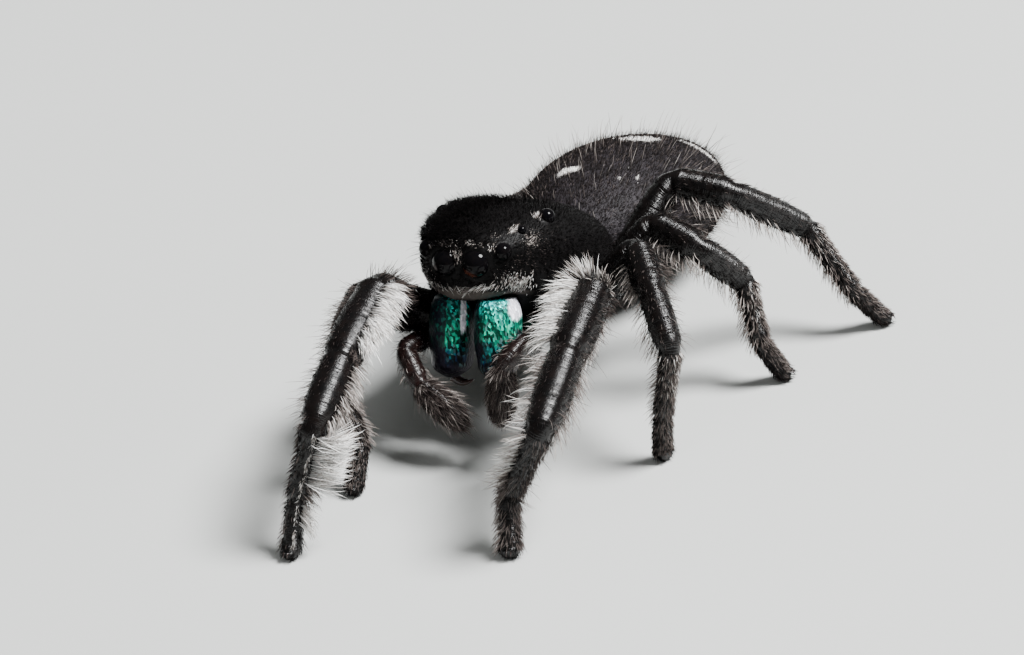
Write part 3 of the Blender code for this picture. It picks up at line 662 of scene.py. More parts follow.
class Coat:
    """Hairs of one region, gathered and built as a few joined meshes."""

    def __init__(self, name):
        self.name = name
        self.sets = []

    def grow(self, roots, lie, rise, droop, length, width, tone, stations=3, flat=1.0):
        """Adds hairs that leave the skin at the rise, in degrees, and bend to the droop.

        Length, width and tone are one value, one for each hair, or a middle and its scatter.
        """
        n = roots.count
        length, width, tone = [for_each(n, value) for value in (length, width, tone)]
        length, tone = length.copy(), np.clip(tone, 0.0, 1.0)
        lie = np.asarray(lie, float)
        lie = unit(lie - roots.normals * (lie * roots.normals).sum(axis=1, keepdims=True))
        aside = np.cross(lie, roots.normals)
        lie = unit(lie + aside * chance.normal(0.0, HAIR_SWAY, n)[:, None])
        aside = np.cross(lie, roots.normals)
        start = np.radians(spread(n, rise, HAIR_SCATTER))
        end = np.radians(spread(n, droop, HAIR_SCATTER))
        bend = chance.normal(0.0, HAIR_BEND, n)
        for _ in range(SHORTENINGS):
            verts = self.shape(roots, lie, aside, start, end, length, width, bend, stations, flat)
            outside = self.outside(verts)
            if not outside.any():
                break
            length[outside] *= SHORTENED
        kept = ~outside
        uv = np.stack((roots.turn[kept], roots.share[kept]), axis=1)
        self.sets.append((verts[kept], tone[kept], uv, stations))

    def shape(self, roots, lie, aside, start, end, length, width, bend, stations, flat):
        """Corners of every hair, ring by ring from its root to its tip."""
        rings = []
        for share, girth in HAIR_SHAPES[stations]:
            centre = roots.points - roots.normals * (width * 0.5)[:, None]
            for step in range(BEND_STEPS):
                part = share * (step + 0.5) / BEND_STEPS
                angle = start + (end - start) * part
                way = lie * np.cos(angle)[:, None] + roots.normals * np.sin(angle)[:, None]
                centre = centre + way * (length * share / BEND_STEPS)[:, None]
            centre = centre + aside * (bend * length * share ** 2)[:, None]
            if girth == 0.0:
                rings.append(centre[:, None, :])
                continue
            angle = start + (end - start) * share
            over = roots.normals * np.cos(angle)[:, None] - lie * np.sin(angle)[:, None]
            half = (width * girth / 2.0)[:, None]
            corners = [centre + aside * half * math.cos(turn) + over * half * flat * math.sin(turn)
                       for turn in HAIR_CORNERS]
            rings.append(np.stack(corners, axis=1))
        return np.concatenate(rings, axis=1)

    def outside(self, verts):
        """Which hairs reach past the floor or the room that the coat may take."""
        low, high = from_model(CAD_BOX[0]), from_model(CAD_BOX[1])
        room = np.array((ROOM_ROUND, ROOM_ROUND, ROOM_ABOVE))
        over = (verts > high + room).any(axis=(1, 2))
        under = (verts[..., :2] < low[:2] - ROOM_ROUND).any(axis=(1, 2))
        return over | under | (verts[..., 2] < ROOM_BELOW).any(axis=1)

    def build(self, finish, slot):
        """Joined meshes, each under the limit of triangles."""
        batches, batch, load = [], [], 0
        for verts, tone, uv, stations in self.sets:
            faces = hair_triangles(stations)
            first = 0
            while first < len(verts):
                room = (PIECE_LIMIT - load) // len(faces)
                if room < 1:
                    batches.append(batch)
                    batch, load = [], 0
                    continue
                last = min(first + room, len(verts))
                batch.append((verts[first:last], tone[first:last], uv[first:last], faces, stations))
                load += (last - first) * len(faces)
                first = last
        batches.append(batch)
        for i, parts in enumerate(batches):
            self.join(i, parts, finish, slot)

    def join(self, number, parts, finish, slot):
        points, triangles, tones, alongs, uvs, base = [], [], [], [], [], 0
        for verts, tone, uv, faces, stations in parts:
            n, size = verts.shape[:2]
            shares = np.array([share for share, _ in HAIR_SHAPES[stations]])
            along = np.concatenate((np.repeat(shares[:-1], 3), shares[-1:]))
            corner = np.concatenate((np.tile((0.0, 0.5, 1.0), stations - 1), (0.5,)))
            patch = (np.stack((corner, along), axis=1) - 0.5) * BAKE_PATCH
            index = base + np.arange(n)[:, None, None] * size + faces[None]
            points.append(verts.reshape(-1, 3))
            triangles.append(index.reshape(-1, 3))
            tones.append(np.repeat(tone, size))
            alongs.append(np.tile(along, n))
            place = BAKE_PATCH + uv * (1.0 - 2.0 * BAKE_PATCH)
            uvs.append((place[:, None, None, :] + patch[faces][None]).reshape(-1, 2))
            base += n * size
        name = "%s_%d" % (self.name, number + 1)
        mesh = triangle_mesh(name, to_model(np.concatenate(points)), np.concatenate(triangles))
        layer = mesh.uv_layers.new(name="OFBake")
        layer.data.foreach_set("uv", np.concatenate(uvs).astype(np.float32).ravel())
        add_float(mesh, "tone", np.concatenate(tones))
        add_float(mesh, "along", np.concatenate(alongs))
        mesh.materials.append(finish)
        item = add_item(name, mesh)
        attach(item, "root")


def triangle_mesh(name, points, triangles):
    mesh = bpy.data.meshes.new(name)
    mesh.vertices.add(len(points))
    mesh.vertices.foreach_set("co", points.astype(np.float32).ravel())
    mesh.loops.add(triangles.size)
    mesh.loops.foreach_set("vertex_index", triangles.astype(np.int32).ravel())
    mesh.polygons.add(len(triangles))
    mesh.polygons.foreach_set("loop_start", np.arange(0, triangles.size, 3, dtype=np.int32))
    mesh.update(calc_edges=True)
    mesh.shade_smooth()
    return mesh


# Materials. Two shades of each finish: size of their clouds in millimetres, detail, stops and colours
SHADES = {
    "shell": (0.30, 4.0, (0.3, (0.0010, 0.0009, 0.0010)), (0.7, (0.0028, 0.0024, 0.0025))),
    "leg": (0.25, 4.0, (0.35, (0.0011, 0.0009, 0.0010)), (0.78, (0.0042, 0.0025, 0.0022))),
    "fur_skin": (0.35, 5.0, (0.3, (0.006, 0.005, 0.006)), (0.7, (0.018, 0.015, 0.018))),
    "palp": (0.2, 4.0, (0.3, (0.0028, 0.0014, 0.0015)), (0.7, (0.0115, 0.0048, 0.0042))),
    "eye": (0.12, 3.0, (0.3, (0.0012, 0.0012, 0.0018)), (0.8, (0.0032, 0.0026, 0.0026))),
    "horn": (0.10, 3.0, (0.3, (0.008, 0.004, 0.004)), (0.75, (0.030, 0.011, 0.009))),
    "floor": (30.0, 3.0, (0.3, (0.42, 0.43, 0.42)), (0.7, (0.45, 0.46, 0.45))),
}
FACE_BAND = (0.056, 0.048, 0.043)
WHITE_SPOT = (0.62, 0.60, 0.58)
EYE_RIM = (0.050, 0.015, 0.009)
EYE_GLINT = (0.09, 0.082, 0.08)

# Jaws: colours from the top down, and how brightly one scale or another shines
JAW_SHADES = [(0.0, (0.02, 0.44, 0.44)), (0.22, (0.008, 0.42, 0.30)), (0.44, (0.006, 0.34, 0.19)),
              (0.58, (0.003, 0.095, 0.090)), (0.70, (0.002, 0.012, 0.032)),
              (0.86, (0.002, 0.003, 0.009))]
JAW_SPARKS = [(0.0, (0.08,) * 3), (0.42, (0.10,) * 3), (0.60, (0.45,) * 3), (0.80, (0.85,) * 3),
              (0.96, (2.2,) * 3)]
# Colour of the painted highlight on the jaws
JAW_PAINTED_HIGHLIGHT = (0.86, 0.85, 0.94)
JAW_PALE = (0.25, 0.52, 0.52)
# Colour of the painted shade on the jaws: their far side, the gap between them and low down
JAW_PAINTED_SHADE = (0.0062, 0.0042, 0.010)
JAW_SCALE = 0.048
JAW_PATCH = 0.15
JAW_CALM = 0.62

# How far an edge given on the mesh is broken up, and half its blur
RAGGED = 0.45
EDGE_BLUR = 0.15

# Hair colours by tone
HAIR_SHADES = [(0.0, (0.0010, 0.0009, 0.0010)), (0.3, (0.018, 0.014, 0.0135)),
               (0.55, (0.14, 0.115, 0.105)), (0.8, (0.46, 0.42, 0.39)), (1.0, (0.88, 0.87, 0.85))]

# Fine ribs across legs and palps, in millimetres
RIB_PITCH = 0.018
RIB_GRAIN = 0.020
RIB_SHARE = 0.8
FRONT_RIB_DEPTH = 0.0130
LEG_RIB_DEPTH = 0.0165
PALP_RIB_DEPTH = 0.0115


class Finish:
    """A material and the few nodes that vary its surface."""

    def __init__(self, name, **sockets):
        self.material = bpy.data.materials.new(name)
        self.material.use_nodes = True
        self.tree = self.material.node_tree
        self.shader = self.tree.nodes["Principled BSDF"]
        for socket, value in sockets.items():
            self.shader.inputs[socket.replace("_", " ")].default_value = value

    def node(self, kind, inputs=(), **settings):
        made = self.tree.nodes.new(kind)
        for key, value in settings.items():
            setattr(made, key, value)
        for key, value in dict(inputs).items():
            if isinstance(value, bpy.types.NodeSocket):
                self.tree.links.new(value, made.inputs[key])
            else:
                made.inputs[key].default_value = value
        return made

    def places(self):
        return self.node("ShaderNodeTexCoord").outputs["Object"]

    def value(self, name):
        return self.node("ShaderNodeAttribute", attribute_name=name).outputs["Fac"]

    def noise(self, size, detail=3.0):
        """Cloudy values whose features are about this many millimetres across."""
        return self.node("ShaderNodeTexNoise", {"Vector": self.places(), "Scale": 1.0 / (size * MM),
                                                "Detail": detail}).outputs["Fac"]

    def shades(self, name):
        """The two shades of a finish, mixed in clouds."""
        size, detail, *stops = SHADES[name]
        return self.ramp(self.noise(size, detail), stops)

    def ribs(self, depth):
        """Bump of uneven ribs across a limb, mixed with grains."""
        place = self.math("DIVIDE", self.value("reach"), RIB_PITCH)
        rib = self.node("ShaderNodeTexNoise", {"W": place, "Scale": 1.0, "Detail": 1.0},
                        noise_dimensions="1D")
        self.bump(self.math("ADD", self.math("MULTIPLY", rib.outputs["Fac"], RIB_SHARE),
                            self.math("MULTIPLY", self.noise(RIB_GRAIN, 1.0), 1.0 - RIB_SHARE)), depth)

    def rough(self, size, low, high):
        """Roughness that varies between two values in clouds."""
        self.set("Roughness", self.range(self.noise(size), low, high))

    def ramp(self, factor, stops):
        made = self.node("ShaderNodeValToRGB", {"Fac": factor})
        points = made.color_ramp.elements
        while len(points) < len(stops):
            points.new(1.0)
        for point, (place, colour) in zip(points, stops):
            point.position = place
            point.color = (*colour, 1.0)
        return made.outputs["Color"]

    def range(self, value, low, high, start=0.0, end=1.0):
        return self.node("ShaderNodeMapRange", {"Value": value, "From Min": start, "From Max": end,
                                                "To Min": low, "To Max": high}).outputs["Result"]

    def mix(self, factor, first, second, blend="MIX"):
        first, second = [(*value, 1.0) if isinstance(value, tuple) else value for value in (first, second)]
        return self.node("ShaderNodeMix", {0: factor, 6: first, 7: second}, data_type="RGBA",
                         blend_type=blend).outputs[2]

    def math(self, kind, first, second):
        return self.node("ShaderNodeMath", {0: first, 1: second}, operation=kind).outputs[0]

    def edge(self, name, ragged):
        """A value given on the mesh, with its outline broken up."""
        uneven = self.math("ADD", self.value(name), self.range(ragged, -RAGGED, RAGGED))
        return self.range(uneven, 0.0, 1.0, 0.5 - EDGE_BLUR, 0.5 + EDGE_BLUR)

    def bump(self, height, depth, strength=1.0):
        """Bump whose full height is this many millimetres."""
        made = self.node("ShaderNodeBump", {"Height": height, "Distance": depth * MM, "Strength": strength})
        self.set("Normal", made.outputs["Normal"])

    def set(self, socket, output):
        self.tree.links.new(output, self.shader.inputs[socket])


def shell_finish():
    """Velvet black, with the grey-brown band over the jaws."""
    made = Finish("carapace_black", IOR=1.2)
    made.set("Base Color", made.mix(made.value("mark"), made.shades("shell"), FACE_BAND))
    made.rough(0.08, 0.42, 0.62)
    grains = made.node("ShaderNodeTexVoronoi", {"Vector": made.places(), "Scale": 1.0 / (0.035 * MM)})
    made.bump(grains.outputs["Distance"], 0.006)
    return made.material


def leg_finish(name, depth):
    """Polished black, finely ribbed across so that a light draws a long streak on it."""
    made = Finish(name, IOR=1.40)
    made.set("Base Color", made.shades("leg"))
    made.rough(0.10, 0.20, 0.30)
    made.ribs(depth)
    return made.material


def fur_skin_finish():
    """Grey-black under the abdomen's fur, white in the spots."""
    made = Finish("abdomen_grey_black", Specular_IOR_Level=0.2)
    made.set("Base Color", made.mix(made.value("mark"), made.shades("fur_skin"), WHITE_SPOT))
    made.rough(0.1, 0.5, 0.75)
    made.bump(made.noise(0.05, 4.0), 0.03)
    return made.material


def palp_finish():
    made = Finish("palp_brown", IOR=1.4)
    made.set("Base Color", made.shades("palp"))
    made.rough(0.08, 0.20, 0.34)
    made.ribs(PALP_RIB_DEPTH)
    return made.material


def eye_finish():
    made = Finish("eye_black", Roughness=0.02, Specular_IOR_Level=0.09)
    colour = made.mix(made.value("rim"), made.shades("eye"), EYE_RIM)
    made.set("Base Color", made.mix(made.value("glint"), colour, EYE_GLINT))
    return made.material


def chelicera_finish():
    """Iridescent scales: green and teal, blue-black lower down, with a white painted highlight and painted
    shade.
    """
    made = Finish("chelicera_teal", Specular_IOR_Level=0.2)
    streaks = made.node("ShaderNodeMapping", {"Vector": made.places(), "Scale": (1.0, 1.0, 0.5)})
    grain = made.node("ShaderNodeTexVoronoi", {"Vector": streaks.outputs[0],
                                               "Scale": 1.0 / (JAW_SCALE * MM)})
    patchy = made.node("ShaderNodeTexNoise", {"Vector": streaks.outputs[0], "Detail": 5.0,
                                              "Scale": 1.0 / (JAW_PATCH * MM)}).outputs["Fac"]
    shade = made.math("ADD", made.value("down"), made.range(patchy, -0.32, 0.32))
    painted_highlight = made.edge("painted_highlight", patchy)
    painted_shade = made.edge("painted_shade", patchy)
    colour = made.mix(painted_highlight, made.ramp(shade, JAW_SHADES), JAW_PAINTED_HIGHLIGHT)
    split = made.node("ShaderNodeSeparateColor", {"Color": grain.outputs["Color"]})
    spark = made.ramp(split.outputs["Red"], JAW_SPARKS)
    calm = made.mix(made.math("MULTIPLY", painted_highlight, JAW_CALM), spark, (1.0, 1.0, 1.0))
    colour = made.mix(1.0, colour, calm, "MULTIPLY")
    colour = made.mix(made.range(split.outputs["Green"], 0.0, 0.30, 0.86, 1.0), colour, JAW_PALE)
    made.set("Base Color", made.mix(made.math("MULTIPLY", painted_shade, 0.93), colour, JAW_PAINTED_SHADE))
    made.set("Metallic", made.range(painted_highlight, 0.45, 0.0))
    made.rough(0.05, 0.28, 0.5)
    made.bump(grain.outputs["Distance"], 0.014, 0.8)
    return made.material


def horn_finish(name):
    made = Finish(name, Coat_Weight=0.4, Coat_Roughness=0.08)
    made.set("Base Color", made.shades("horn"))
    made.rough(0.04, 0.18, 0.32)
    return made.material


def hair_finish():
    """Hairs from black through grey-brown to white by their tone, darker at the root as painted shade."""
    made = Finish("coat_hair", IOR=1.15)
    colour = made.ramp(made.value("tone"), HAIR_SHADES)
    painted_root_shade = made.range(made.value("along"), 0.50, 1.0, 0.0, 0.5)
    dark = made.node("ShaderNodeCombineColor", {"Red": painted_root_shade, "Green": painted_root_shade, "Blue": painted_root_shade})
    made.set("Base Color", made.mix(1.0, colour, dark.outputs[0], "MULTIPLY"))
    made.rough(0.2, 0.35, 0.55)
    return made.material


def floor_finish():
    made = Finish("floor_pale", Roughness=0.7)
    made.set("Base Color", made.shades("floor"))
    return made.material


# Markings, shared by skin and coat: two ends of each pale streak on the abdomen's back, as
# shares of the half sizes across and along, with its half width and strength
ABDOMEN_SPOTS = [
    ((-0.30, -0.50), (-0.27, -0.48), 0.048, 1.0),
    ((-0.24, -0.47), (-0.16, -0.45), 0.036, 1.0),
    ((-0.11, 0.24), (0.10, 0.30), 0.085, 1.0),
    ((-0.30, 0.22), (-0.13, 0.24), 0.018, 0.8),
    ((0.27, 0.56), (0.60, 0.60), 0.042, 0.95),
    ((-0.27, 0.56), (-0.60, 0.60), 0.042, 0.95),
    ((0.37, -0.44), (0.37, -0.44), 0.010, 0.7),
    ((0.36, -0.30), (0.36, -0.30), 0.009, 0.6),
    ((0.52, -0.35), (0.52, -0.35), 0.013, 0.7),
    ((0.55, -0.42), (0.55, -0.42), 0.008, 0.5),
]
SPOT_EDGE = 1.3
SPOT_BLUR = 0.6

# Band over the jaws in the head's frame: each edge's height, bend to the sides and blur, and how
# far back it reaches
BAND_TOP = (0.80, 0.16, 0.05)
BAND_FOOT = (0.52, 0.10, 0.04)
BAND_BACK = (-1.45, 0.15)


def abdomen_mark(points):
    """How white the abdomen is at a place: spots and streaks on its back."""
    local = in_abdomen(points)
    place, level = local[..., :2], local[..., 2]
    white = np.zeros(level.shape)
    for start, end, width, strength in ABDOMEN_SPOTS:
        start, run = np.array(start), np.subtract(end, start)
        share = np.clip(((place - start) @ run) / max(run @ run, 1e-9), 0.0, 1.0)
        away = distance(place - start, share[..., None] * run)
        white = np.maximum(white, strength * eased(SPOT_EDGE - away / width, SPOT_BLUR))
    return white * (level > 0.0)


def head_mark(points):
    """The smooth grey-brown band under the eyes, with a dark line beneath it."""
    local = in_head(points)
    x, y, z = local[..., 0], local[..., 1], local[..., 2]
    top, droop, top_blur = BAND_TOP
    foot, lift, foot_blur = BAND_FOOT
    back, back_blur = BAND_BACK
    across = eased(top - droop * x ** 2 - z, top_blur) * eased(z - foot + lift * x ** 2, foot_blur)
    return across * eased(back - y, back_blur)


def skin_marks(points, slots):
    on_head = np.where(slots == SHELL, head_mark(points), 0.0)
    return np.where(slots == FUR_SKIN, abdomen_mark(points), on_head)


def lengthwise(points, slots, limbs):
    """How far along its limb each point of the legs' and palps' skin lies, in millimetres."""
    places = np.concatenate([limb.points.reshape(-1, 3) for limb in limbs])
    reaches = np.concatenate([limb.at.ravel() for limb in limbs])
    tree = KDTree(len(places))
    for i, place in enumerate(places):
        tree.insert(place, i)
    tree.balance()
    along = np.zeros(len(points))
    for i in np.flatnonzero((slots != SHELL) & (slots != FUR_SKIN)):
        along[i] = reaches[tree.find(points[i])[1]]
    return along


def join_skin(parts, finishes):
    """One closed skin from the head, abdomen, limbs and the rest."""
    items = [closed_object("part", surface, slot, finishes) for surface, slot in parts]
    skin, others = items[0], items[1:]
    group = bpy.data.collections.new("skin_parts")
    bpy.context.scene.collection.children.link(group)
    for item in others:
        bpy.context.scene.collection.objects.unlink(item)
        group.objects.link(item)
    union = skin.modifiers.new("join", "BOOLEAN")
    union.operation = "UNION"
    union.solver = "MANIFOLD"
    union.operand_type = "COLLECTION"
    union.collection = group
    graph = bpy.context.evaluated_depsgraph_get()
    joined = bpy.data.meshes.new_from_object(skin.evaluated_get(graph))
    skin.modifiers.clear()
    skin.data = joined
    for item in others:
        bpy.data.objects.remove(item, do_unlink=True)
    bpy.data.collections.remove(group)
    skin.name = "skin"
    joined.name = "skin"
    points = np.empty(len(joined.vertices) * 3)
    joined.vertices.foreach_get("co", points)
    points = points.reshape(-1, 3)
    slots = np.zeros(len(points), int)
    for face in joined.polygons:
        slots[list(face.vertices)] = face.material_index
    limbs = [part for part, _ in parts if isinstance(part, Limb)]
    add_float(joined, "mark", skin_marks(points, slots))
    add_float(joined, "reach", lengthwise(points, slots, limbs))
    joined.shade_smooth()
    joined.set_sharp_from_angle(angle=SHARP_EDGE)
    into_model(skin)
    return skin


def stands_for(item, slot, *nodes):
    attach(item, "root")
    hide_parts(*nodes)


def make_eyes(finish):
    """Glassy domes; of the large front pair one has a brown crescent below, one a grey glint."""
    for side in SIDES:
        for label, (centre, radius) in EYES.items():
            name = "eye_%s_%s" % (label, side)
            middle = over_floor(mirrored(centre, side))
            item = closed_object(name + "_dome", ball_surface(middle, radius), 0, [finish])
            outward = unit(np.array([vertex.co for vertex in item.data.vertices]) - middle)
            for mark, marked, way, edge, blur in EYE_MARKS:
                shown = eased(outward @ unit(in_picture(way)) - edge, blur)
                add_float(item.data, mark, shown * ((label, side) == ("front_middle", marked)))
            stands_for(into_model(item), "eye", name)


def jaw_marks(side, aside, down):
    """Where a jaw gets painted highlight and painted shade, by shares of its half width and of its length.
    """
    if side == "left":
        painted_highlight = eased(aside - 0.26, 0.36) * eased(0.38 - down, 0.20)
        painted_shade = np.maximum(eased(down + 0.4 * aside - 0.66, 0.25), 0.75 * eased(-0.62 - aside, 0.2))
        return painted_highlight, painted_shade
    painted_highlight = bell(aside - 0.42, 0.15) * eased(0.52 - down, 0.2)
    painted_shade = np.maximum(eased(-0.20 - aside, 0.20), eased(aside - 0.62, 0.1))
    return painted_highlight, np.maximum(painted_shade, eased(down - 0.74, 0.15))


def make_chelicerae(finish):
    """Jaws: painted shade on the right one's outer side, a white painted highlight where both turn to the
    left.
    """
    for side in SIDES:
        item = closed_object("chelicera_%s_shell" % side, chelicera_surface(side), 0, [finish])
        points = np.array([vertex.co for vertex in item.data.vertices])
        top = over_floor(mirrored(CHELICERA_TOP, side))
        axis = over_floor(mirrored(CHELICERA_BOTTOM, side)) - top
        down = ((points - top) @ axis) / (axis @ axis)
        turned = image_right() * (CHELICERA_HALF_WIDTH, CHELICERA_HALF_DEPTH, 0.0)
        aside = ((points - top - down[:, None] * axis) @ image_right()) / np.linalg.norm(turned)
        painted_highlight, painted_shade = jaw_marks(side, aside, down)
        for name, values in (("down", down), ("painted_highlight", painted_highlight), ("painted_shade", painted_shade)):
            add_float(item.data, name, values)
        stands_for(into_model(item), "chelicera", "chelicera_" + side)


def make_fangs(finish):
    for side in SIDES:
        root = over_floor(mirrored(CHELICERA_BOTTOM, side)) + mirrored(FANG_ROOT, side)
        hook = [root + mirrored(step, side) for step in FANG_HOOK]
        item = closed_object("fang_%s_hook" % side, curved_cone(hook, FANG_RADII), 0, [finish])
        stands_for(into_model(item), "claw", "fang_" + side)


def image_right():
    flat = np.array((math.cos(CAMERA_TURN), math.sin(CAMERA_TURN), 0.0))
    upright = np.cross(camera_back(), flat)
    return math.cos(CAMERA_ROLL) * flat + math.sin(CAMERA_ROLL) * upright


def image_up():
    return np.cross(camera_back(), image_right())


def camera_back():
    level = math.cos(CAMERA_HEIGHT)
    return np.array((math.sin(CAMERA_TURN) * level, -math.cos(CAMERA_TURN) * level,
                     math.sin(CAMERA_HEIGHT)))


def in_picture(way):
    """A direction given to the picture's right, up and back toward the camera."""
    return way[0] * image_right() + way[1] * image_up() + way[2] * camera_back()


def make_camera():
    data = bpy.data.cameras.new("camera")
    data.sensor_width = SENSOR_WIDTH
    data.lens = PIXELS_PER_MM * CAMERA_DISTANCE * SENSOR_WIDTH / IMAGE_WIDTH
    data.clip_start = MM
    data.clip_end = 10.0
    item = add_item("camera", data)
    axes = Matrix([image_right(), image_up(), camera_back()]).transposed()
    place = to_model(CAMERA_TARGET + camera_back() * CAMERA_DISTANCE)
    item.matrix_world = Matrix.Translation(Vector(place)) @ axes.to_4x4()
    bpy.context.scene.camera = item


def soft_light(name, way, away, size, watts):
    """A round lamp that looks at the animal from a direction, at a distance in millimetres."""
    data = bpy.data.lights.new(name, "AREA")
    data.shape = "DISK"
    data.size = size * MM
    data.energy = watts
    item = add_item(name, data)
    way = Vector(unit(in_picture(way)))
    item.location = Vector(to_model(CAMERA_TARGET)) + way * away * MM
    item.rotation_euler = way.to_track_quat("Z", "Y").to_euler()
    return item


def make_lights():
    soft_light("key", *KEY_LIGHT)
    soft_light("front", *FRONT_LIGHT).visible_glossy = False
    world = bpy.data.worlds.new("studio")
    world.use_nodes = True
    world.node_tree.nodes["Background"].inputs["Color"].default_value = WORLD_COLOUR
    world.node_tree.nodes["Background"].inputs["Strength"].default_value = WORLD_STRENGTH
    bpy.context.scene.world = world


def make_floor(finish):
    mesh = bpy.data.meshes.new("floor")
    corners = [(x * FLOOR_REACH, y * FLOOR_REACH, FLOOR_LEVEL)
               for x, y in ((-1, -1), (1, -1), (1, 1), (-1, 1))]
    mesh.from_pydata(corners, [], [(0, 1, 2, 3)])
    mesh.materials.append(finish)
    add_item("floor", mesh)


# Coat of the abdomen: way that the fur lies, bare front, and a painted sheen that makes the fur paler on
# its flank
LYING_BACK = (0.1, 1.0, 0.0)
BARE_FRONT = -0.96
BARE_BLUR = 0.15
FLANK_PAINTED_SHEEN = 0.13
FLANK_PLACE = (0.36, -0.58)
FLANK_SIZE = (0.30, 0.16)


def abdomen_coat(surface):
    """Short grey-black fur that lies back, with thin pale bristles standing out of it."""
    coat = Coat("coat_abdomen")
    furred = eased(in_abdomen(surface.points)[..., 1] - BARE_FRONT, BARE_BLUR)
    roots = surface.roots(40000, furred)
    # The fur on the flank is made paler here as a painted sheen
    away = in_abdomen(roots.points)[:, :2] - FLANK_PLACE
    painted_sheen = FLANK_PAINTED_SHEEN * bell(np.linalg.norm(away / FLANK_SIZE, axis=1), 1.0)
    white = chance.random(roots.count) < abdomen_mark(roots.points)
    tone = np.where(white, 0.97, spread(roots.count, 0.115, 0.8) + painted_sheen)
    length = np.where(white, 0.07, 0.09) * spread(roots.count, 1.0, 0.35)
    coat.grow(roots, LYING_BACK, 30.0, 14.0, length, 0.015, tone)
    roots = surface.roots(3600, furred)
    coat.grow(roots, LYING_BACK, 40.0, 24.0, (0.11, 0.35), 0.012, (0.34, 0.5))
    roots = surface.roots(6000, furred)
    coat.grow(roots, (0.0, 1.0, 0.1), 64.0, 44.0, (0.19, 0.4), 0.008, (0.13, 0.7))
    roots = surface.roots(560, furred)
    rear = np.clip(in_abdomen(roots.points)[:, 1] * 0.5 + 0.5, 0.0, 1.0)
    coat.grow(roots, LYING_BACK, 78.0, 58.0, (0.36 + 0.30 * rear, 0.4), 0.011, (0.58, 0.4), 4)
    return coat


# Patches of pale scales on the left of the head, and the share of them that the right side keeps, fewer as
# painted shade: place and reach in the head's frame, count, lie, length, width, tone, rise, droop, share
HEAD_PATCHES = [
    ((-0.08, -2.42, 1.56), (0.09, 0.30, 0.13), 20, (0.3, -0.2, -1.0), 0.11, 0.014, 0.68, 26, 12, 0.3),
    ((0.06, -2.41, 1.62), (0.04, 0.30, 0.14), 14, (-0.1, -0.2, -1.0), 0.11, 0.012, 0.68, 26, 12, 0.5),
    ((0.27, -2.36, 1.80), (0.26, 0.30, 0.045), 50, (0.9, 0.2, 0.3), 0.08, 0.015, 0.72, 24, 10, 1.0),
    ((0.72, -2.29, 1.70), (0.06, 0.20, 0.06), 16, (0.3, 0.3, 0.8), 0.08, 0.022, 0.82, 26, 12, 1.0),
    ((0.78, -2.10, 1.94), (0.14, 0.14, 0.05), 16, (0.7, 0.6, 0.2), 0.06, 0.022, 0.60, 20, 8, 1.0),
    ((1.02, -1.81, 1.96), (0.055, 0.17, 0.040), 46, (0.35, 0.9, 0.15), 0.12, 0.014, 0.78, 24, 10, 1.0),
    ((1.21, -0.87, 2.02), (0.06, 0.12, 0.06), 44, (-0.1, 0.9, 0.3), 0.12, 0.013, 0.74, 38, 18, 1.0),
    ((1.36, -1.54, 1.73), (0.13, 0.16, 0.14), 360, (0.1, 0.8, -0.6), 0.06, 0.022, 0.64, 16, 6, 1.0),
    ((1.45, -1.20, 1.50), (0.20, 0.40, 0.25), 120, (0.1, 1.0, -0.3), 0.06, 0.014, 0.36, 20, 8, 1.0),
    ((1.20, -1.84, 0.78), (0.17, 0.27, 0.16), 210, (-0.4, -0.3, -0.8), 0.10, 0.020, 0.86, 26, 12, 1.0),
    ((1.05, -2.02, 0.94), (0.26, 0.24, 0.13), 110, (-0.4, -0.2, -0.7), 0.08, 0.022, 0.80, 22, 10, 1.0),
    ((0.98, -2.15, 1.14), (0.32, 0.24, 0.14), 64, (-0.2, 0.2, -0.7), 0.06, 0.026, 0.80, 20, 8, 1.0),
    ((0.42, -2.37, 0.88), (0.36, 0.20, 0.05), 64, (-0.9, -0.1, -0.5), 0.19, 0.013, 0.84, 28, 10, 0.35),
    ((1.22, -1.75, 1.30), (0.26, 0.50, 0.30), 90, (0.1, 0.8, -0.5), 0.06, 0.014, 0.42, 20, 8, 1.0),
]


def head_coat(surface):
    """Deep black velvet, with pale scales about the eyes and on the cheeks."""
    coat = Coat("coat_head")
    local = in_head(surface.points)
    x, y, z = local[..., 0], local[..., 1], local[..., 2]
    clear = np.ones(surface.areas.shape)
    for centre, radius in eye_places():
        clear *= eased(distance(surface.points, centre) - 1.05 * radius, 0.05)
    upper = clear * eased(z - 0.84, 0.1)
    sides = clear * (z <= 0.9) * (z > -0.2) * (y > -1.3)
    crown = upper * (z > 1.75) * (y < 0.2) * np.clip(0.6 - x, 0.15, 2.0)
    tuck = clear * bell(distance(local, mirrored(EYES["rear_side"][0], "right")), 0.34)
    for count, density, lie, rise, droop, length, width, tone, stations in (
            (16000, upper + sides, (0.0, 1.0, 0.1), 40.0, 22.0, (0.10, 0.35), 0.013, 0.03, 3),
            (4200, crown, (0.0, -0.6, 0.4), 66.0, 46.0, (0.20, 0.3), 0.012, 0.02, 3),
            (260, tuck, (0.0, -1.0, 0.6), 70.0, 56.0, (0.26, 0.3), 0.013, 0.02, 3),
            (300, upper * (z > 1.2) * (y < 0.4), (0.0, -1.0, 0.2), 66.0, 44.0, (0.42, 0.35), 0.009,
             0.05, 4)):
        coat.grow(surface.roots(count, density), lie, rise, droop, length, width, (tone, 0.9), stations)
    for place, reach, count, lie, length, width, tone, rise, droop, share in HEAD_PATCHES:
        for side in SIDES:
            away = (local - mirrored(place, side)) / reach
            # On the right side the pale scales are thinned out as painted shade
            count_thinned_for_shade = count if side == "left" else int(count * share)
            roots = surface.roots(count_thinned_for_shade, clear * np.exp(-(away ** 2).sum(axis=-1)))
            coat.grow(roots, mirrored(lie, side), rise, droop, (length, 0.35), width, (tone, 0.3),
                      flat=0.5)
    return coat


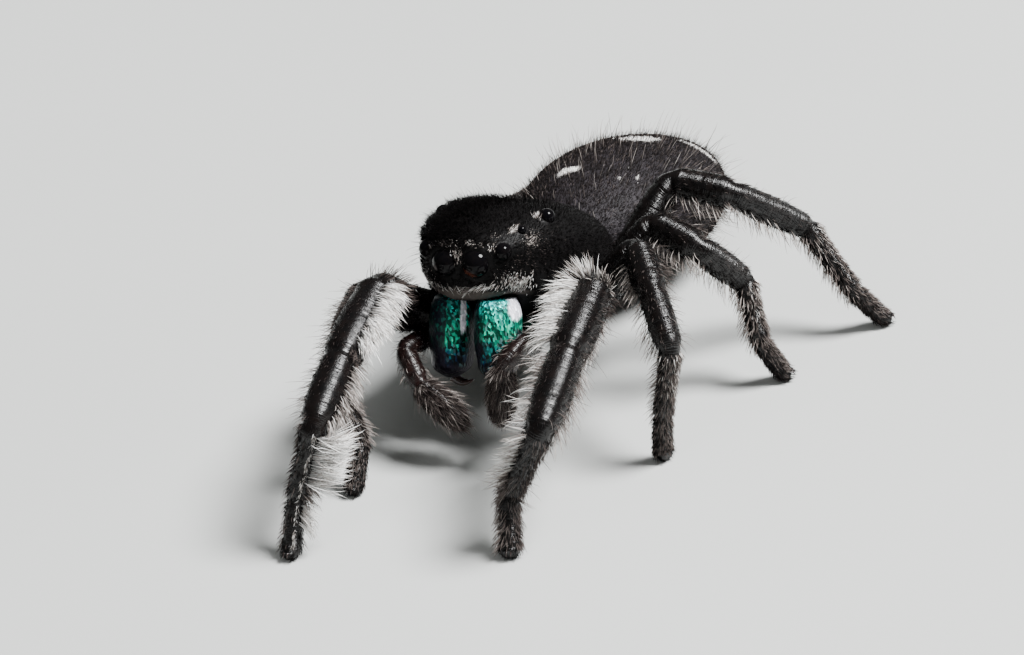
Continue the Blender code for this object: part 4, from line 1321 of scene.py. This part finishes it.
# Hairs of the legs: from and to, in joints from the root and their shares; degrees from the
# outer side through the underside, and their scatter; count, length, width, tone, rise, droop,
# and the share of the lie that runs along the leg, the rest of it inward
FRONT_HAIRS = [
    # The first row, on the thigh's inner side, is toned dark as painted shade
    (0.45, 0.95, 200, 26, 70, 0.30, 0.015, 0.16, 60, 36, 0.5),
    (1.04, 2.96, 350, 34, 260, 0.28, 0.011, 0.40, 62, 38, 0.9),
    (1.04, 2.96, 340, 40, 26, 0.52, 0.010, 0.50, 66, 50, 0.9),
    (1.04, 2.96, 270, 60, 160, 0.10, 0.012, 0.30, 24, 10, 1.0),
    (3.02, 5.00, 350, 44, 300, 0.20, 0.013, 0.40, 44, 24, 0.9),
    (3.02, 5.00, 90, 50, 300, 0.24, 0.014, 0.46, 48, 26, 0.9),
]
RIGHT_BRUSHES = [
    (0.80, 1.06, 235, 40, 150, 0.34, 0.013, 0.46, 76, 60, -0.2),
    (1.00, 1.60, 211, 14, 440, 0.54, 0.019, 1.00, 50, 22, 0.15),
    (1.50, 1.90, 209, 14, 260, 0.50, 0.019, 1.00, 48, 18, 0.45),
    (1.90, 2.10, 190, 30, 60, 0.30, 0.013, 0.45, 50, 26, 0.6),
    (2.06, 2.96, 178, 15, 190, 0.44, 0.017, 0.74, 56, 32, 0.5),
    (3.07, 3.74, 202, 14, 430, 0.72, 0.019, 1.00, 58, 24, 0.12),
    (3.70, 4.00, 190, 30, 60, 0.36, 0.015, 0.60, 60, 34, 0.4),
    (4.03, 4.42, 194, 16, 150, 0.42, 0.017, 0.96, 54, 26, 0.35),
    # Short pale hairs in a thin line along the foot: a painted highlight where the streak of light runs
    (3.03, 4.95, 236, 4, 190, 0.10, 0.013, 0.84, 14, 8, 1.0),
]
LEFT_BRUSHES = [
    (0.86, 1.08, 235, 38, 90, 0.42, 0.018, 0.84, 76, 60, -0.3),
    (1.02, 1.90, 203, 18, 300, 0.62, 0.019, 0.98, 58, 24, 0.25),
    (1.02, 1.90, 205, 20, 150, 0.34, 0.014, 0.90, 58, 30, 0.40),
    (2.02, 2.96, 186, 15, 90, 0.56, 0.015, 0.82, 66, 42, 0.15),
    (2.02, 2.96, 186, 20, 90, 0.26, 0.012, 0.50, 60, 34, 0.40),
    (3.03, 3.80, 186, 22, 150, 0.50, 0.016, 0.82, 62, 34, 0.30),
    (0.90, 1.10, 330, 40, 60, 0.22, 0.015, 0.70, 40, 20, 0.60),
    (1.25, 1.98, 44, 18, 110, 0.36, 0.017, 0.84, 36, 14, 0.95),
    (2.04, 2.98, 40, 16, 150, 0.48, 0.015, 0.76, 54, 42, 0.80),
    (2.04, 2.98, 60, 26, 120, 0.30, 0.012, 0.50, 50, 36, 0.85),
    (3.05, 4.10, 40, 34, 110, 0.44, 0.014, 0.60, 54, 40, 0.80),
    (3.03, 5.00, 0, 80, 820, 0.17, 0.013, 0.42, 40, 24, 0.95),
    (3.60, 5.00, 180, 60, 420, 0.24, 0.014, 0.52, 46, 28, 0.85),
]
OTHER_HAIRS = [
    # The first row, under the thigh, is toned darker as painted shade
    (0.35, 1.00, 110, 50, 150, 0.30, 0.013, 0.24, 58, 34, 0.9),
    (1.04, 2.96, 126, 22, 140, 0.44, 0.016, 0.66, 62, 38, 0.85),
    (1.04, 2.96, 52, 22, 140, 0.42, 0.016, 0.64, 62, 38, 0.85),
    (1.04, 2.96, 270, 60, 160, 0.12, 0.012, 0.40, 30, 14, 1.0),
    (1.04, 2.96, 0, 50, 90, 0.34, 0.011, 0.50, 62, 40, 0.8),
    (3.02, 4.00, 90, 60, 240, 0.30, 0.015, 0.58, 52, 28, 0.9),
    (3.02, 4.00, 270, 80, 420, 0.16, 0.013, 0.50, 34, 18, 1.0),
    (3.02, 3.60, 300, 70, 160, 0.15, 0.016, 0.76, 30, 14, 1.0),
    (4.00, 5.00, 270, 80, 320, 0.13, 0.014, 0.50, 36, 20, 1.0),
    (4.00, 5.00, 90, 100, 300, 0.16, 0.014, 0.26, 36, 18, 1.0),
]
LENGTH_SCATTER = 0.42
WIDTH_SCATTER = 0.2
TONE_SCATTER = 0.24

# Short dark hairs cover each foot all round, and the rest of a leg along its underside; real hair, they
# also serve as painted shade on the strip where the leg lies in shade: the middle line of that strip in
# degrees, on the front legs and on the others, and its half width
SHORT_HAIRS = 3600
FRONT_UNDERSIDE_SHADE = 90.0
OTHER_UNDERSIDE_SHADE = 120.0
UNDERSIDE_SHADE_WIDTH = 75.0


def off_line(limb, degrees, side):
    """Degrees round a limb between each of its places and a line along it."""
    turned = degrees if side == "left" else 180.0 - degrees
    return (limb.turn * 360.0 - turned + 180.0) % 360.0 - 180.0


def leg_coat(limb, side, number):
    """Fringes of single hairs, white brushes inside the front legs, and a few short hairs."""
    coat = Coat("coat_leg_%s_%d" % (side, number))
    rows = OTHER_HAIRS
    if number == 1:
        rows = FRONT_HAIRS + (LEFT_BRUSHES if side == "left" else RIGHT_BRUSHES)
    inward = np.array((-1.0 if side == "left" else 1.0, 0.0, 0.0))
    for start, end, degrees, scatter, count, length, width, tone, rise, droop, along in rows:
        low, high = np.interp((start, end), range(len(limb.marks)), limb.marks)
        between = (limb.at > low) * (limb.at < high)
        roots = limb.roots(count, between * bell(off_line(limb, degrees, side), scatter))
        lie = roots.ways * along + inward * (1.0 - abs(along))
        coat.grow(roots, lie, rise, droop, (length, LENGTH_SCATTER), (width, WIDTH_SCATTER),
                  (tone, TONE_SCATTER), 4)
    foot = limb.at > limb.marks[3]
    # Short dark hairs, thickest on the shaded strip, as real hair and as painted shade
    middle = FRONT_UNDERSIDE_SHADE if number == 1 else OTHER_UNDERSIDE_SHADE
    under = bell(off_line(limb, middle, side), UNDERSIDE_SHADE_WIDTH)
    roots = limb.roots(SHORT_HAIRS, 0.12 + under + 0.9 * foot)
    coat.grow(roots, roots.ways, 24.0, 12.0, (0.13, 0.4), 0.015, (0.05, 0.9))
    return coat


def palp_coat(limb, side):
    """Long thin hairs that fan out of the swollen end, and fewer on the arm."""
    coat = Coat("coat_palp_" + side)
    bulb = (limb.at > limb.marks[2]) * 1.0
    longest = 0.40 if side == "right" else 0.28
    for count, length, width, tone, rise, droop in ((300, longest, 0.008, 0.54, 40, 24),
                                                    (2500, 0.19, 0.0075, 0.36, 36, 20),
                                                    (900, 0.15, 0.013, 0.08, 26, 12)):
        roots = limb.roots(count, bulb)
        coat.grow(roots, roots.ways, rise, droop, (length, 0.35), width, (tone, 0.5), 4)
    roots = limb.roots(220, 1.0 - bulb)
    coat.grow(roots, roots.ways, 48.0, 24.0, (0.20, 0.4), 0.012, (0.46, 0.6), 4)
    return coat


def make_claws(limbs, finish):
    """Two small hooked claws at the end of each foot."""
    points, faces, base = [], [], 0
    for limb in limbs.values():
        end = limb.points[-1].mean(axis=0)
        way = unit(end - limb.points[-6].mean(axis=0)) * (1.0, 1.0, 0.0)
        aside = unit(np.cross(way, (0.0, 0.0, 1.0)))
        for sign in (-1.0, 1.0):
            root = end + aside * sign * CLAW_APART + (0.0, 0.0, CLAW_LIFT) - way * CLAW_DEPTH
            hook = [root] + [root + way * ahead + (0.0, 0.0, up) for ahead, up in CLAW_HOOK]
            made, fans = curved_cone(hook, CLAW_RADII, CLAW_SIDES).mesh()
            made[:, 2] = np.maximum(made[:, 2], CLAW_CLEARANCE)
            points.append(made)
            faces += [tuple(base + np.array(face)) for face in fans]
            base += len(made)
    mesh = bpy.data.meshes.new("claws")
    mesh.from_pydata(to_model(np.concatenate(points)).tolist(), [], faces)
    mesh.materials.append(finish)
    mesh.shade_smooth()
    item = add_item("claws", mesh)
    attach(item, "root")


def main():
    make_camera()
    make_lights()
    make_floor(floor_finish())
    finishes = [shell_finish(), leg_finish("front_leg_black", FRONT_RIB_DEPTH),
                leg_finish("leg_black", LEG_RIB_DEPTH), fur_skin_finish(), palp_finish()]
    head, abdomen = head_surface(), abdomen_surface()
    legs = {key: leg_limb(*key) for key in LEGS}
    palps = {side: palp_limb(side) for side in SIDES}
    parts = [(head, SHELL), (abdomen, FUR_SKIN), (pedicel_limb(), SHELL)]
    parts += [(limb, FRONT_LEG_SKIN if number == 1 else LEG_SKIN)
              for (_, number), limb in legs.items()]
    parts += [(limb, PALP_SKIN) for limb in palps.values()]
    parts += [(spinneret_limb(side), FUR_SKIN) for side in SIDES]
    skin = join_skin(parts, finishes)
    flesh = ["cephalothorax", "abdomen", "pedicel"]
    flesh += ["spinneret_" + side for side in SIDES]
    flesh += ["palp_%s_%s" % (side, end) for side in SIDES for end in ("arm", "tip")]
    flesh += ["leg_%s_%d_%s" % (side, number, piece) for side, number in LEGS
              for piece in ("femur", "tibia", "foot")]
    stands_for(skin, "body_skin", *flesh)
    make_eyes(eye_finish())
    make_chelicerae(chelicera_finish())
    make_fangs(horn_finish("fang_brown"))
    make_claws(legs, horn_finish("claw_brown"))
    hair = hair_finish()
    coats = [(abdomen_coat(abdomen), "body_skin"), (head_coat(head), "body_skin")]
    coats += [(leg_coat(limb, *key), "leg_skin") for key, limb in legs.items()]
    coats += [(palp_coat(limb, side), "leg_skin") for side, limb in palps.items()]
    for coat, slot in coats:
        coat.build(hair, slot)


main()
